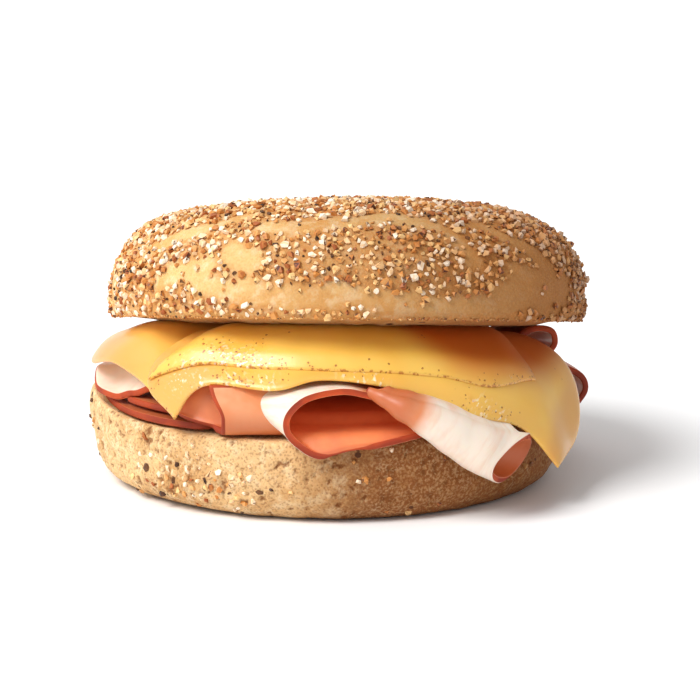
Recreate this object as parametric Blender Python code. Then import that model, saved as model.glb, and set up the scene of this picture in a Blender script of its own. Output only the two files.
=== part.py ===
"""Turkey and cheese toastie: folded turkey slices and melted cheese in a split, grain-crusted round roll.

Metres, +Z up. The origin is the middle of the heel's flat underside. -Y is the front, where the lid gapes.
The lid leans back: its cut face is 11 mm higher at the front than over the roll's middle.
"""
import math
import random

import bmesh
import bpy
from mathutils import Matrix, Vector, noise

MM = 0.001

# Bread
HEEL_RADIUS = 54.4 * MM
HEEL_FOOT_RADIUS = 47.0 * MM
HEEL_HEIGHT = 19.0 * MM
HEEL_BACK_DROP = 1.2 * MM
HEEL_LIP = 2.2 * MM
HEEL_FLARE = 1.3 * MM
FOOT_ROUNDING = 2.4 * MM
LID_RADIUS = 55.2 * MM
LID_HEIGHT = 27.8 * MM
LID_CENTRE = Vector((4.6, 0.0, 36.2)) * MM
LID_SKEW = 0.028
LID_LEAN = math.radians(11.4)
LID_ROLL = math.radians(0.6)
BREAD_SEGMENTS = 40
CRUST_RELIEF = 0.7 * MM
LID_GRAINS = 130
HEEL_GRAINS = 18
GRAIN_SIZE = (2.5 * MM, 1.8 * MM, 1.5 * MM)
GRAIN_SPACING = 3.6 * MM
SEED = 7

# Fillings
TURKEY = 1.8 * MM
CHEESE = 1.5 * MM
GAP = 0.35 * MM
SETTLE = CHEESE + GAP + 0.2 * MM

# How the pile of fillings falls away from under the lid, by azimuth in degrees: the radius where it
# leaves the lid, the slope it takes there, the radius where it turns down, and the slope it hangs at.
PILE_FALL = (
    (-180, 37, 24, 46, 78),
    (-150, 37, 24, 46, 74),
    (-130, 36, 28, 47, 70),
    (-112, 35, 32, 50, 52),
    (-90, 35, 32, 52, 44),
    (-62, 35, 30, 48, 52),
    (-36, 34, 32, 48, 60),
    (-24, 34, 32, 48, 66),
    (0, 37, 22, 48, 58),
    (40, 42, 16, 53, 52),
    (90, 47, 12, 55, 48),
    (140, 42, 16, 54, 58),
)
FALL_EASE = 12.0 * MM
FALL_STEP = 1.0 * MM
LEFT_RISE = 3.6 * MM


def ease(t):
    t = min(max(t, 0.0), 1.0)
    return t * t * (3 - 2 * t)


def mix(a, b, t):
    return a + (b - a) * t


def eased(t, *keys):
    """The value at t of a curve that eases from one (place, value) key to the next."""
    for (t0, a), (t1, b) in zip(keys, keys[1:]):
        if t <= t1:
            return mix(a, b, ease((t - t0) / (t1 - t0)))
    return keys[-1][1]


def lid_plane(x, y):
    """Height of the lid's cut face over a point."""
    return LID_CENTRE.z - math.tan(LID_LEAN) * (y - LID_CENTRE.y) - math.tan(LID_ROLL) * (x - LID_CENTRE.x)


def heel_top(y):
    """Height of the heel's cut face, which dips a little towards the back."""
    return HEEL_HEIGHT - HEEL_BACK_DROP * (y / HEEL_RADIUS + 1) / 2


def through(t, points):
    """The point at t, 0 to 1, of a smooth curve through evenly timed points."""
    points = [Vector(p) for p in points]
    last = len(points) - 1
    i = min(int(max(t, 0.0) * last), last - 1)
    f = min(max(t * last - i, 0.0), 1.0)
    b, c = points[i], points[i + 1]
    a = points[i - 1] if i > 0 else 2 * b - c
    d = points[i + 2] if i + 2 <= last else 2 * c - b
    curve = (2 * a - 5 * b + 4 * c - d) * f ** 2 + (3 * b - a - 3 * c + d) * f ** 3
    return 0.5 * (2 * b + (c - a) * f + curve)


def fall_at(azimuth):
    """How the pile falls away towards an azimuth: (flat slope, leave, first, turn, hang)."""
    bearing = (azimuth + 180) % 360 - 180
    flat = math.atan(math.tan(LID_LEAN) * math.sin(math.radians(azimuth)))
    rows = PILE_FALL + ((PILE_FALL[0][0] + 360,) + PILE_FALL[0][1:],)
    for low, high in zip(rows, rows[1:]):
        if bearing <= high[0]:
            t = ease((bearing - low[0]) / (high[0] - low[0]))
            leave, first, turn, hang = [mix(a, b, t) for a, b in zip(low[1:], high[1:])]
            return flat, leave * MM, math.radians(first), turn * MM, math.radians(hang)


def fall_slope(fall, s):
    """Downward slope, in radians, of the pile's top at arc length s out from the middle."""
    flat, leave, first, turn, hang = fall
    return mix(mix(flat, first, ease((s - leave) / FALL_EASE)), hang, ease((s - turn) / FALL_EASE))


PILE_MIDDLE = lid_plane(0, 0) - GAP - 2.6 * SETTLE


def drape(x, y, lift):
    """A flat point laid over the pile and raised by lift square to it."""
    azimuth = math.degrees(math.atan2(y, x))
    fall, reach = fall_at(azimuth), math.hypot(x, y)
    s, radius, height = 0.0, 0.0, PILE_MIDDLE
    while s < reach:
        step = min(FALL_STEP, reach - s)
        slope = fall_slope(fall, s + step / 2)
        radius += step * math.cos(slope)
        height -= step * math.sin(slope)
        s += step
    slope = fall_slope(fall, reach)
    radius += lift * math.sin(slope)
    height += lift * math.cos(slope)
    turn = math.radians(azimuth)
    return Vector((radius * math.cos(turn), radius * math.sin(turn), height))


def pile_top(x, y):
    """Height and slope of the pile, where the lowest cheese's middle surface lies, over a point."""
    fall, radius = fall_at(math.degrees(math.atan2(y, x))), math.hypot(x, y)
    s, out, height = 0.0, 0.0, PILE_MIDDLE
    while out < radius and s < 90 * MM:
        slope = fall_slope(fall, s + FALL_STEP / 2)
        out += FALL_STEP * math.cos(slope)
        height -= FALL_STEP * math.sin(slope)
        s += FALL_STEP
    return height, fall_slope(fall, s)


def left_rise(x, y):
    """How far the lowest cheese lifts above the pile at the left, where nothing lies on it."""
    return LEFT_RISE * ease((-x - 27 * MM) / (13 * MM)) * ease((y + 35 * MM) / (14 * MM))


def roof(x, y):
    """Height of a turkey slice's middle surface right under the cheese."""
    height, slope = pile_top(x, y)
    under = SETTLE * ease((y + 48 * MM) / (9 * MM))
    return height + left_rise(x, y) - (under + 0.15 * MM) / math.cos(slope)


def floor(y):
    """Height of a turkey slice's middle surface on the flat slice."""
    return heel_top(y) + 2 * GAP + 1.5 * TURKEY + 0.25 * MM


def coloured(obj, name, colour, roughness):
    material = bpy.data.materials.get(name) or bpy.data.materials.new(name)
    material.use_nodes = True
    shader = material.node_tree.nodes["Principled BSDF"]
    shader.inputs["Base Color"].default_value = (*colour, 1)
    shader.inputs["Roughness"].default_value = roughness
    shader.inputs["Metallic"].default_value = 0
    obj.data.materials.append(material)
    return obj


def placed(name, bm):
    """A bmesh as an object of that name."""
    mesh = bpy.data.meshes.new(name)
    bm.to_mesh(mesh)
    bm.free()
    obj = bpy.data.objects.new(name, mesh)
    bpy.context.scene.collection.objects.link(obj)
    return obj


def sheet(name, across, along, place, thickness):
    """A slice: a grid whose (u, v), each 0 to 1, place() turns into a point of its middle surface."""
    bm = bmesh.new()
    bmesh.ops.create_grid(bm, x_segments=across, y_segments=along, size=0.5)
    for vert in bm.verts:
        vert.co = place(vert.co.x + 0.5, vert.co.y + 0.5)
    bmesh.ops.recalc_face_normals(bm, faces=bm.faces)
    obj = placed(name, bm)
    wall = obj.modifiers.new("Thickness", "SOLIDIFY")
    wall.thickness = thickness
    wall.offset = 0
    wall.use_even_offset = True
    obj.data.shade_smooth()
    return obj


def turned(profile, segments):
    """A bmesh turned about Z from (radius, height) points that start and end on the axis."""
    bm = bmesh.new()
    verts = [bm.verts.new((r, 0, z)) for r, z in profile]
    edges = [bm.edges.new(pair) for pair in zip(verts, verts[1:])]
    bmesh.ops.spin(bm, geom=verts + edges, cent=(0, 0, 0), axis=(0, 0, 1),
                   angle=math.tau, steps=segments, use_merge=True)
    bmesh.ops.remove_doubles(bm, verts=bm.verts, dist=0.01 * MM)
    bmesh.ops.recalc_face_normals(bm, faces=bm.faces)
    return bm


def bulged(radius, low, height, steps):
    """Points up the side of a loaf and over its rounded shoulder to the axis."""
    points = []
    for i in range(steps + 1):
        turn = math.pi / 2 * i / steps
        points.append((radius * math.cos(turn) ** 0.52, low + (height - low) * math.sin(turn) ** 0.84))
    return points


def toward(point, azimuth, spread):
    """How near a point lies to an azimuth, in degrees: 1 there, falling to 0 either side."""
    off = (math.degrees(math.atan2(point.y, point.x)) - azimuth + 180) % 360 - 180
    return math.exp(-(off / spread) ** 2)


def crust_push(point, seed):
    """How far the crust's slow lumps push a point out."""
    return CRUST_RELIEF * noise.noise(point * 55 + Vector((seed, 0, 0)))


def grain(bm_place, scale, rng):
    """One crushed grain as its own mesh object at a Matrix."""
    bm = bmesh.new()
    bmesh.ops.create_icosphere(bm, subdivisions=1, radius=0.5)
    size = Matrix.Diagonal((*[s * scale for s in GRAIN_SIZE], 1))
    spin = Matrix.Rotation(rng.uniform(0, math.tau), 4, "Z") @ Matrix.Rotation(rng.uniform(-0.4, 0.4), 4, "X")
    bmesh.ops.transform(bm, matrix=bm_place @ spin @ size, verts=bm.verts)
    return placed("grain", bm)


def fuse_grains(loaf, spots, rng):
    """Joins a grain on each (point, normal) spot to the loaf with one Boolean."""
    grains = bpy.data.collections.new(loaf.name + "_grains")
    bpy.context.scene.collection.children.link(grains)
    for point, normal in spots:
        scale = rng.uniform(0.85, 1.3)
        seat = Matrix.Translation(point) @ normal.to_track_quat("Z", "Y").to_matrix().to_4x4()
        piece = grain(seat, scale, rng)
        bpy.context.scene.collection.objects.unlink(piece)
        grains.objects.link(piece)
    join = loaf.modifiers.new("Grains", "BOOLEAN")
    join.operand_type = "COLLECTION"
    join.collection = grains
    join.operation = "UNION"
    join.solver = "MANIFOLD"
    bpy.context.view_layer.objects.active = loaf
    bpy.ops.object.modifier_apply(modifier=join.name)
    for piece in list(grains.objects):
        bpy.data.objects.remove(piece)
    bpy.data.collections.remove(grains)


def grain_cover(point):
    """How thickly grain lies on the lid, 0 to 1, with the bare strips that its rolling left."""
    azimuth, radius = math.atan2(point.y, point.x), math.hypot(point.x, point.y)
    wind = azimuth * 3.0 + radius / (9.0 * MM) + 1.6 * noise.noise(point * 28)
    return 0.5 + 0.5 * math.sin(wind)


def place_key(point):
    """A key that sorts points by height and azimuth, so that they come in the same order each run."""
    return round(point.z / MM, 2), round(math.atan2(point.y, point.x), 3)


def in_order(faces):
    return sorted(faces, key=lambda face: place_key(face.calc_center_median()))


def lid_spots(bm, rng):
    """Spread spots on the lid's crust, the larger share where the grain lies thick."""
    faces = in_order(f for f in bm.faces if f.calc_center_median().z > 2.5 * MM and f.normal.z > -0.2)
    weights = [f.calc_area() for f in faces]
    spots = []
    for face in rng.choices(faces, weights, k=LID_GRAINS * 40):
        corners = sorted((v.co for v in face.verts), key=place_key)
        shares = [rng.random() for _ in corners]
        point = sum((c * s for c, s in zip(corners, shares)), Vector()) / sum(shares)
        clear = all((point - other).length > GRAIN_SPACING for other, _ in spots)
        if clear and rng.random() < 0.12 + 0.88 * grain_cover(point):
            spots.append((point, face.normal.copy()))
        if len(spots) == LID_GRAINS:
            break
    return spots


def heel_spots(bm, rng):
    """Spots on the heel's side, mostly at its left."""
    low, high = 5 * MM, 15 * MM
    faces = in_order(f for f in bm.faces if abs(f.normal.z) < 0.5 and low < f.calc_center_median().z < high)
    spots = []
    for face in rng.sample(faces, len(faces)):
        point = face.calc_center_median()
        at_left = 0.35 + 0.65 * ease(-point.x / HEEL_RADIUS + 0.3)
        clear = all((point - other).length > 2 * GRAIN_SPACING for other, _ in spots)
        if clear and rng.random() < at_left:
            spots.append((point, face.normal.copy()))
        if len(spots) == HEEL_GRAINS:
            break
    return spots


def make_heel():
    """The roll's lower half: a flat foot, a round lower edge and a rough, nearly upright side."""
    rng = random.Random(SEED)
    side = [(0.0, 0.0), (0.5 * HEEL_FOOT_RADIUS, 0.0), (HEEL_FOOT_RADIUS, 0.0)]
    for i in range(1, 5):
        turn = math.pi / 2 * i / 4
        side.append((mix(HEEL_FOOT_RADIUS, HEEL_RADIUS, math.sin(turn)), 9 * MM * (1 - math.cos(turn))))
    side += [(HEEL_RADIUS, 14 * MM), (HEEL_RADIUS - 0.3 * MM, 17.6 * MM)]
    side += [(HEEL_RADIUS - 1.3 * MM, HEEL_HEIGHT), (HEEL_RADIUS - 2.0 * MM, HEEL_HEIGHT)]
    side += [(0.5 * HEEL_RADIUS, HEEL_HEIGHT), (0.0, HEEL_HEIGHT)]
    bm = turned(side, BREAD_SEGMENTS)
    for vert in bm.verts:
        level = vert.co.z / HEEL_HEIGHT
        out = Vector((vert.co.x, vert.co.y, 0))
        edge = ease((out.length - HEEL_RADIUS + 1.9 * MM) / (0.5 * MM))
        foot = ease((HEEL_RADIUS - out.length) / (HEEL_RADIUS - HEEL_FOOT_RADIUS)) * (out.length > 40 * MM)
        if 0 < level < 1 and out.length > 0:
            vert.co += out.normalized() * crust_push(vert.co, 3) * 0.6
        if out.length > 0:
            flare = HEEL_FLARE * toward(out, 180, 38) * ease(level * 2 - 0.8) * edge
            inward = FOOT_ROUNDING * toward(out, 222, 42) * foot * (level < 0.5)
            vert.co += out.normalized() * (flare - inward)
        vert.co.z -= level * (HEEL_HEIGHT - heel_top(vert.co.y))
        vert.co.z += HEEL_LIP * toward(out, 180, 26) * ease(level * 3 - 2) * edge
    spots = heel_spots(bm, rng)
    heel = placed("bun_heel", bm)
    fuse_grains(heel, spots, rng)
    return coloured(heel, "heel_crumb", (0.68, 0.42, 0.20), 0.85)


def make_lid():
    """The roll's upper half with its crushed grain, leaning back on the fillings."""
    rng = random.Random(SEED + 1)
    side = [(0.0, 0.0), (0.5 * LID_RADIUS, 0.0), (LID_RADIUS - 1.4 * MM, 0.0),
            (LID_RADIUS - 0.4 * MM, 1.0 * MM), (LID_RADIUS, 4.0 * MM)]
    side += bulged(LID_RADIUS + 0.2 * MM, 8.0 * MM, LID_HEIGHT, 10)
    bm = turned(side, BREAD_SEGMENTS)
    for vert in bm.verts:
        if vert.co.z > 0.5 * MM:
            vert.co += vert.normal * crust_push(vert.co, 11) * ease(vert.co.z / (6 * MM))
            vert.co.z *= 1 - LID_SKEW * vert.co.x / LID_RADIUS
    bm.normal_update()
    spots = lid_spots(bm, rng)
    lid = placed("bun_lid", bm)
    fuse_grains(lid, spots, rng)
    lean = Matrix.Rotation(-LID_LEAN, 4, "X") @ Matrix.Rotation(LID_ROLL, 4, "Y")
    lid.location = LID_CENTRE
    lid.rotation_euler = lean.to_euler()
    return coloured(lid, "lid_crust", (0.80, 0.55, 0.27), 0.75)


def patch(front, right, back, left):
    """A flat outline as a function of (u, v), from points along its four sides: front and back run
    left to right, left and right run front to back."""
    a, b, c, d = [Vector(p) * MM for p in (front[0], front[-1], back[-1], back[0])]

    def at(u, v):
        ahead = through(u, front) * MM * (1 - v) + through(u, back) * MM * v
        aside = through(v, left) * MM * (1 - u) + through(v, right) * MM * u
        return ahead + aside - (a * (1 - u) * (1 - v) + b * u * (1 - v) + c * u * v + d * (1 - u) * v)

    return at


def cheese(name, outline, lift, cells):
    """A melted slice that lies over the pile, lift(x, y) above the lowest sheet's place."""
    def place(u, v):
        x, y = outline(u, v)
        return drape(x, y, lift(x, y))

    return coloured(sheet(name, *cells, place, CHEESE), "melted_cheese", (0.86, 0.52, 0.13), 0.35)


LEFT_SLICE = patch(((-43.3, -37), (-20, -34), (4, -26)),
                   ((4, -26), (7, 5), (8, 34)),
                   ((-49, 22), (-22, 31), (8, 34)),
                   ((-43.3, -37), (-48.5, -25), (-55.5, -9), (-55, 8), (-49, 22)))
MAIN_SLICE = patch(((-37.3, -51.8), (-28.5, -49), (-12.3, -56), (-1.6, -54.5), (12, -55), (24, -54),
                    (35, -53.5), (49, -45), (61.1, -45.3)),
                   ((61.1, -45.3), (65.5, -25), (61, -11), (50, -2), (40, 11), (33, 23), (28, 34)),
                   ((-16, 44), (8, 43), (28, 34)),
                   ((-37.3, -51.8), (-41.2, -38), (-31, -29), (-23, -9), (-18, 16), (-16, 44)))
TOP_SLICE = patch(((-40.2, -38.6), (-26, -45), (-12.5, -50.5), (1, -52.5), (14, -51.5), (26, -48),
                   (37.5, -42.5), (48, -27.5)),
                  ((48, -27.5), (41, -16), (37, 0), (34, 17), (27, 31)),
                  ((-12, 41), (8, 40), (27, 31)),
                  ((-40.2, -38.6), (-27, -32.5), (-19, -12), (-14, 14), (-12, 41)))


def crowding(x):
    """Extra room between the slices where they bend sharply at the left."""
    return 0.4 * MM * ease((-x - 16 * MM) / (12 * MM))


def make_cheeses():
    cheese("cheese_left", LEFT_SLICE, left_rise, (11, 11))
    cheese("cheese_main", MAIN_SLICE, lambda x, y: SETTLE + crowding(x), (22, 15))
    cheese("cheese_top", TOP_SLICE, lambda x, y: 2 * (SETTLE + crowding(x)), (15, 12))


def turkey(name, cells, place):
    return coloured(sheet(name, *cells, place, TURKEY), "turkey", (0.80, 0.50, 0.36), 0.5)


def place_base(u, v):
    """The slice that lies flat on the heel. It stops short at the front, under the curl and the loop."""
    x, y = 2 * u - 1, 2 * v - 1
    x, y = x * math.sqrt(1 - y * y / 2), y * math.sqrt(1 - x * x / 2)
    turn, rim = math.atan2(y, x), math.hypot(x, y)
    azimuth = math.degrees(turn)
    reach = eased(azimuth, (-124, 52.6), (-114, 41.5), (-54, 41.5), (-44, 51.5), (-20, 52)) * MM
    reach *= 1 + 0.008 * math.sin(7 * turn)
    wave = 0.12 * MM * (1 + math.sin(5 * turn)) * ease(rim * 3 - 2)
    return Vector((x * reach, y * reach, heel_top(y * reach) + GAP + TURKEY / 2 + wave))


def place_left(u, v):
    """The folded slice at the left: its upper layer's pale top shows outside the cheese, its lower
    layer shows as a second rim under it, and the fold between them lies inside the pile."""
    azimuth = mix(218, 158, u)
    turn = math.radians(azimuth)
    upper_rim = eased(azimuth, (158, 23.8), (174, 24.0), (183, 25.2), (196, 22.9), (203, 22.9), (210, 24.4),
                      (218, 26.2)) * MM
    upper_reach = eased(azimuth, (158, 51.5), (176, 52.2), (190, 53.4), (218, 50.5)) * MM
    lower_reach = eased(azimuth, (202, 42), (214, 51.2)) * MM
    fold = 20.5 * MM
    if v < 0.42:
        radius = mix(upper_reach, fold, v / 0.42)
        side = 1.0
    elif v > 0.58:
        radius = mix(fold, lower_reach, (v - 0.58) / 0.42)
        side = 0.0
    else:
        bend = math.pi * (v - 0.42) / 0.16
        radius = fold - 3.4 * MM * math.sin(bend)
        side = 0.5 + 0.5 * math.cos(bend)
    x, y = radius * math.cos(turn), radius * math.sin(turn)
    high, low = roof(x, y), floor(y)
    if side == 1.0:
        high = mix(high, upper_rim, ease((radius - 38 * MM) / (14 * MM)))
    return Vector((x, y, mix(low, high, side)))


CURL_PATH = ((-49.8, 29.4), (-51.3, 26.8), (-51.8, 24.0), (-50.5, 21.4), (-48.0, 20.3), (-45.6, 21.3),
             (-44.6, 24.2), (-43.6, 28.0), (-40.5, 31.0), (-33.0, 31.0))


def place_curl(u, v):
    """The slice that curls at the front left: a near wall, a bend on the heel, a far wall that shows
    further to the left, and a tail that runs back through the pile."""
    if v < 0.72:
        y, z = through(v / 0.72, CURL_PATH) * MM
    else:
        y, z = mix(-33, 12, (v - 0.72) / 0.28) * MM, 0
    left = eased(v, (0.0, -26.2), (0.16, -23.4), (0.3, -23.6), (0.38, -25.4), (0.46, -34.2), (0.6, -34.2),
                 (0.8, -32.5), (1.0, -30)) * MM
    right = eased(v, (0.0, -17.4), (0.16, -15.0), (0.3, -11.6), (0.38, -14.0), (0.5, -19.0)) * MM
    x = mix(left, right, u)
    y += 3.2 * MM * ease((-x - 26 * MM) / (9 * MM)) * ease((v - 0.38) / 0.08)
    if v > 0.64:
        level = mix(floor(y), roof(x, y), 0.5)
        z = level if v >= 0.72 else mix(z, level, ease((v - 0.64) / 0.08))
    return Vector((x, y, z))


LOOP_MOUTH = ((19.5, 27.2), (14.5, 28.4), (8.6, 30.3), (3.0, 31.3), (-4.4, 29.9), (-8.4, 26.4), (-8.7, 22.6),
              (-6.0, 19.3), (-1.6, 16.8), (4.5, 17.3), (11.5, 18.8), (18.0, 19.9), (24.0, 20.5))
LOOP_TAIL = ((20, 1), (14, 1), (8, 1), (1, 1), (-6, 1), (-9.6, 0.9), (-10.6, 0.5),
             (-9.6, 0.1), (-6, 0), (1, 0), (8, 0), (14, 0), (20, 0))
LOOP_DEPTH = 66 * MM
LOOP_FLOOR = ((42.6, 22.7), (47, 20.8), (52, 20.7), (53.4, 20.6), (54.6, 20.1), (55.8, 18.6), (57.4, 16.6))


def place_loop(u, v):
    """The big open fold at the front: its rim hangs over the heel's edge, its near left side shows
    outside, and it flattens as it runs back through the pile."""
    mouth, tail = through(u, LOOP_MOUTH), through(u, LOOP_TAIL)
    depth = LOOP_DEPTH * (0.25 * v + 0.75 * v * v)
    back = ease(depth / (26 * MM))
    swell = 5.6 * MM * ease(depth / (11 * MM)) * (1 - ease((depth - 11 * MM) / (18 * MM)))
    x = mix(mouth.x, tail.x, back) * MM - swell * ease(0.5 - mouth.x / 16) * ease((mouth.y - 18) / 12)
    y = (-57.2 + 0.185 * mouth.x + 0.03 * max(mouth.x - 12, 0) ** 2) * MM + depth
    radius = math.hypot(x, y) / MM
    low = max(eased(radius, *LOOP_FLOOR) * MM, floor(y) if radius < 42.6 else 0)
    high = roof(x, y) + max(0, radius - 53.5) * 2 * MM
    level = mix(low, mix(low, high, 0.8), tail.y)
    z = mix(mouth.y * MM, level, back)
    return Vector((x, y, min(max(z, low), high)))


ROLL_AXIS = ((6.0, -52.5, 26.6), (10.3, -55.3, 26.1), (15.3, -57.4, 25.5), (20.8, -56.2, 23.6),
             (26.4, -52.8, 19.9), (32.0, -49.9, 16.8), (37.4, -46.9, 14.4), (42.2, -43.5, 12.0))
ROLL_RADIUS = ((0.0, 1.0), (0.14, 1.05), (0.28, 1.4), (0.42, 2.3), (0.57, 3.4), (0.71, 4.1), (1.0, 4.6))


def place_roll(u, v):
    """The cone-shaped roll that hangs outside the heel at the front right. Its sheet leaves over the
    roll's top and runs in under the cheese."""
    centre = through(u, ROLL_AXIS)
    along = (through(min(u + 0.05, 1), ROLL_AXIS) - through(max(u - 0.05, 0), ROLL_AXIS)).normalized()
    out = along.cross(Vector((0, 0, 1))).normalized()
    up = out.cross(along)
    radius = eased(u, *ROLL_RADIUS)
    start = mix(300, 175, ease(u / 0.55))
    end = 440
    turn = math.radians(mix(start, end, min(v / 0.66, 1)))
    tight = mix(0.78, 1.0, ease(v / 0.4)) if u > 0.3 else 1.0
    around = centre + (out * math.cos(turn) + up * math.sin(turn)) * radius * tight
    if v <= 0.66:
        return around * MM
    w = (v - 0.66) / 0.34
    away = up * math.cos(turn) - out * math.sin(turn)
    azimuth = math.atan2(centre.y, centre.x)
    laid = [Vector(drape(s * MM * math.cos(azimuth), s * MM * math.sin(azimuth), -0.8 * MM)) / MM
            for s in (56, 49, 40)]
    share = mix(0.12, 1, ease((u - 0.44) / 0.2) * (1 - ease((u - 0.72) / 0.22)))
    return through(w * share, [around, around + away * 2.0 + Vector((0, 0, 0.8)), *laid]) * MM


RIGHT_PATH = ((29, 27), (35, 27), (40.5, 27.3), (45.5, 30.6), (50.0, 33.0), (54.0, 32.4), (54.4, 29.0),
              (52.4, 25.4), (53.6, 22.5), (57.8, 21.2), (61.0, 19.2), (61.6, 16.2), (59.6, 13.0))
RIPPLE_FOOT = 22.3


def place_right(u, v):
    """The slice at the right that comes out from under the cheese in one ripple and hangs in another."""
    azimuth = mix(12, 36, u)
    turn = math.radians(azimuth)
    radius, z = through(v, RIGHT_PATH)
    radius += (radius - 45) * 0.06 * math.sin(math.radians(azimuth * 5)) * ease(v * 2 - 1)
    x, y = radius * MM * math.cos(turn), radius * MM * math.sin(turn)
    level = min(roof(x, y), lid_plane(x, y) - 3 * MM)
    room = (lid_plane(x, y) / MM - 1.7 - RIPPLE_FOOT) / (33.4 - RIPPLE_FOOT)
    if z > RIPPLE_FOOT:
        z = RIPPLE_FOOT + (z - RIPPLE_FOOT) * room
    pinch = 4 * (1 - room) * ease((v - 0.42) / 0.12) * (1 - ease((v - 0.7) / 0.15)) * MM
    x += pinch * math.cos(turn)
    y += pinch * math.sin(turn)
    return Vector((x, y, min(mix(level, z * MM, ease((v - 0.17) / 0.1)), lid_plane(x, y) - 1.6 * MM)))


def make_turkey():
    turkey("turkey_base", (10, 10), place_base)
    turkey("turkey_left", (10, 17), place_left)
    turkey("turkey_curl", (5, 22), place_curl)
    turkey("turkey_loop", (24, 10), place_loop)
    turkey("turkey_roll", (12, 19), place_roll)
    turkey("turkey_right", (8, 21), place_right)


def clear_scene():
    for obj in list(bpy.data.objects):
        bpy.data.objects.remove(obj)


def main():
    clear_scene()
    make_heel()
    make_lid()
    make_cheeses()
    make_turkey()


main()
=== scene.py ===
"""Turkey and cheese toastie: the finished bread, grain, turkey and melted cheese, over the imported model.

Metres, +Z up, -Y to the front. The slices follow the same formulas as the part's solids, on finer grids.
"""
import math
import random

import bmesh
import bpy
import numpy as np
from bpy.props import FloatProperty, FloatVectorProperty, IntProperty, PointerProperty
from mathutils import Matrix, Vector, noise


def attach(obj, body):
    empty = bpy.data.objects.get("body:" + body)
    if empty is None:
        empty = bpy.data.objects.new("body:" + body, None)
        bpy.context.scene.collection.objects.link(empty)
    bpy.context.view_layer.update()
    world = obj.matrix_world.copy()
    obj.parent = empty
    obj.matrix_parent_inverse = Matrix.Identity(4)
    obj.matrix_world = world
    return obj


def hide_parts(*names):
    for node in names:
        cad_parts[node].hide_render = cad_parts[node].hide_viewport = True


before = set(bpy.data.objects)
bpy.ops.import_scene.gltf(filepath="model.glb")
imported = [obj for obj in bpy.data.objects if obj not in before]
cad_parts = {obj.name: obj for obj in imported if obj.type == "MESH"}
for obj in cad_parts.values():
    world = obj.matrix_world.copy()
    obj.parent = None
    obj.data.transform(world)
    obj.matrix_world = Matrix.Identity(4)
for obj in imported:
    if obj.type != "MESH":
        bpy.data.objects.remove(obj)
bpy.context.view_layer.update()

bl_info = {
    "name": "Turkey and cheese toastie",
    "version": (1, 0, 0),
    "blender": (4, 5, 0),
    "location": "View3D > Sidebar > Toastie",
    "description": "Bread, grain, turkey and melted cheese of a toasted round roll",
    "category": "Add Mesh",
}

MM = 0.001

# Bread, as in the part
HEEL_RADIUS = 54.4 * MM
HEEL_FOOT_RADIUS = 47.0 * MM
HEEL_HEIGHT = 19.0 * MM
HEEL_BACK_DROP = 1.2 * MM
HEEL_LIP = 2.2 * MM
HEEL_FLARE = 1.3 * MM
FOOT_ROUNDING = 2.4 * MM
LID_RADIUS = 55.2 * MM
LID_HEIGHT = 27.8 * MM
LID_CENTRE = Vector((4.6, 0.0, 36.2)) * MM
LID_SKEW = 0.028
LID_LEAN = math.radians(11.4)
LID_ROLL = math.radians(0.6)
CRUST_RELIEF = 0.7 * MM

# Fillings, as in the part
TURKEY = 1.8 * MM
CHEESE = 1.5 * MM
GAP = 0.35 * MM
SETTLE = CHEESE + GAP + 0.2 * MM

# How the pile falls away: azimuth in degrees, then how far out in mm along its surface it starts to slope,
# that slope in degrees, how far out it turns down, and that slope.
PILE_FALL = (
    (-180, 37, 24, 46, 78),
    (-150, 37, 24, 46, 74),
    (-130, 36, 28, 47, 70),
    (-112, 35, 32, 50, 52),
    (-90, 35, 32, 52, 44),
    (-62, 35, 30, 48, 52),
    (-36, 34, 32, 48, 60),
    (-24, 34, 32, 48, 66),
    (0, 37, 22, 48, 58),
    (40, 42, 16, 53, 52),
    (90, 47, 12, 55, 48),
    (140, 42, 16, 54, 58),
    (180, 37, 24, 46, 78),
)
FALL_EASE = 12.0 * MM
LEFT_RISE = 3.6 * MM

# Fineness of the bread, and of the table of how the pile falls away
LID_SEGMENTS = 400
HEEL_SEGMENTS = 720
ROWS = 181
STEPS = 100

SEED = 7

# Where the rolling left the lid's crust bare: half the strip's width in mm, then the strip's middle line
# as (azimuth in degrees, height in mm) points.
BARE_STRIPS = (
    (1.7, ((-147, 16.2), (-141, 18.3), (-133, 20.3), (-126, 22.1), (-121, 24.0))),
    (2.7, ((-119, 14.6), (-113, 12.4))),
    (1.9, ((-140, 7.9), (-133, 9.7), (-125, 11.7))),
    (2.2, ((-126, 7.5), (-117, 6.0), (-108, 4.9), (-99, 4.6), (-91, 4.9), (-80, 3.7), (-71, 2.7),
           (-58, 3.4))),
    (1.9, ((-113, 20.5), (-102, 20.5), (-91, 21.5), (-79, 22.8), (-70, 22.5), (-64, 20.3), (-61, 16.7),
           (-59, 13.0))),
    (1.9, ((-54, 22.0), (-47, 19.9), (-40, 16.6), (-34, 13.3))),
    (3.6, ((-52, 4.1), (-42, 6.5), (-28, 7.0))),
    (3.0, ((-46, 10.2), (-31, 4.7))),
)
SWIRL_TURNS = 3.0
SWIRL_PITCH = 9.0 * MM


def ease(t):
    """A smooth step from 0 to 1."""
    t = min(max(t, 0.0), 1.0)
    return t * t * (3 - 2 * t)


def mix(a, b, t):
    """The value a share t of the way from a to b."""
    return a + (b - a) * t


def eased(t, *keys):
    """The value at t of a curve that eases from one (place, value) key to the next."""
    for (t0, a), (t1, b) in zip(keys, keys[1:]):
        if t <= t1:
            return mix(a, b, ease((t - t0) / (t1 - t0)))
    return keys[-1][1]


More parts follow.
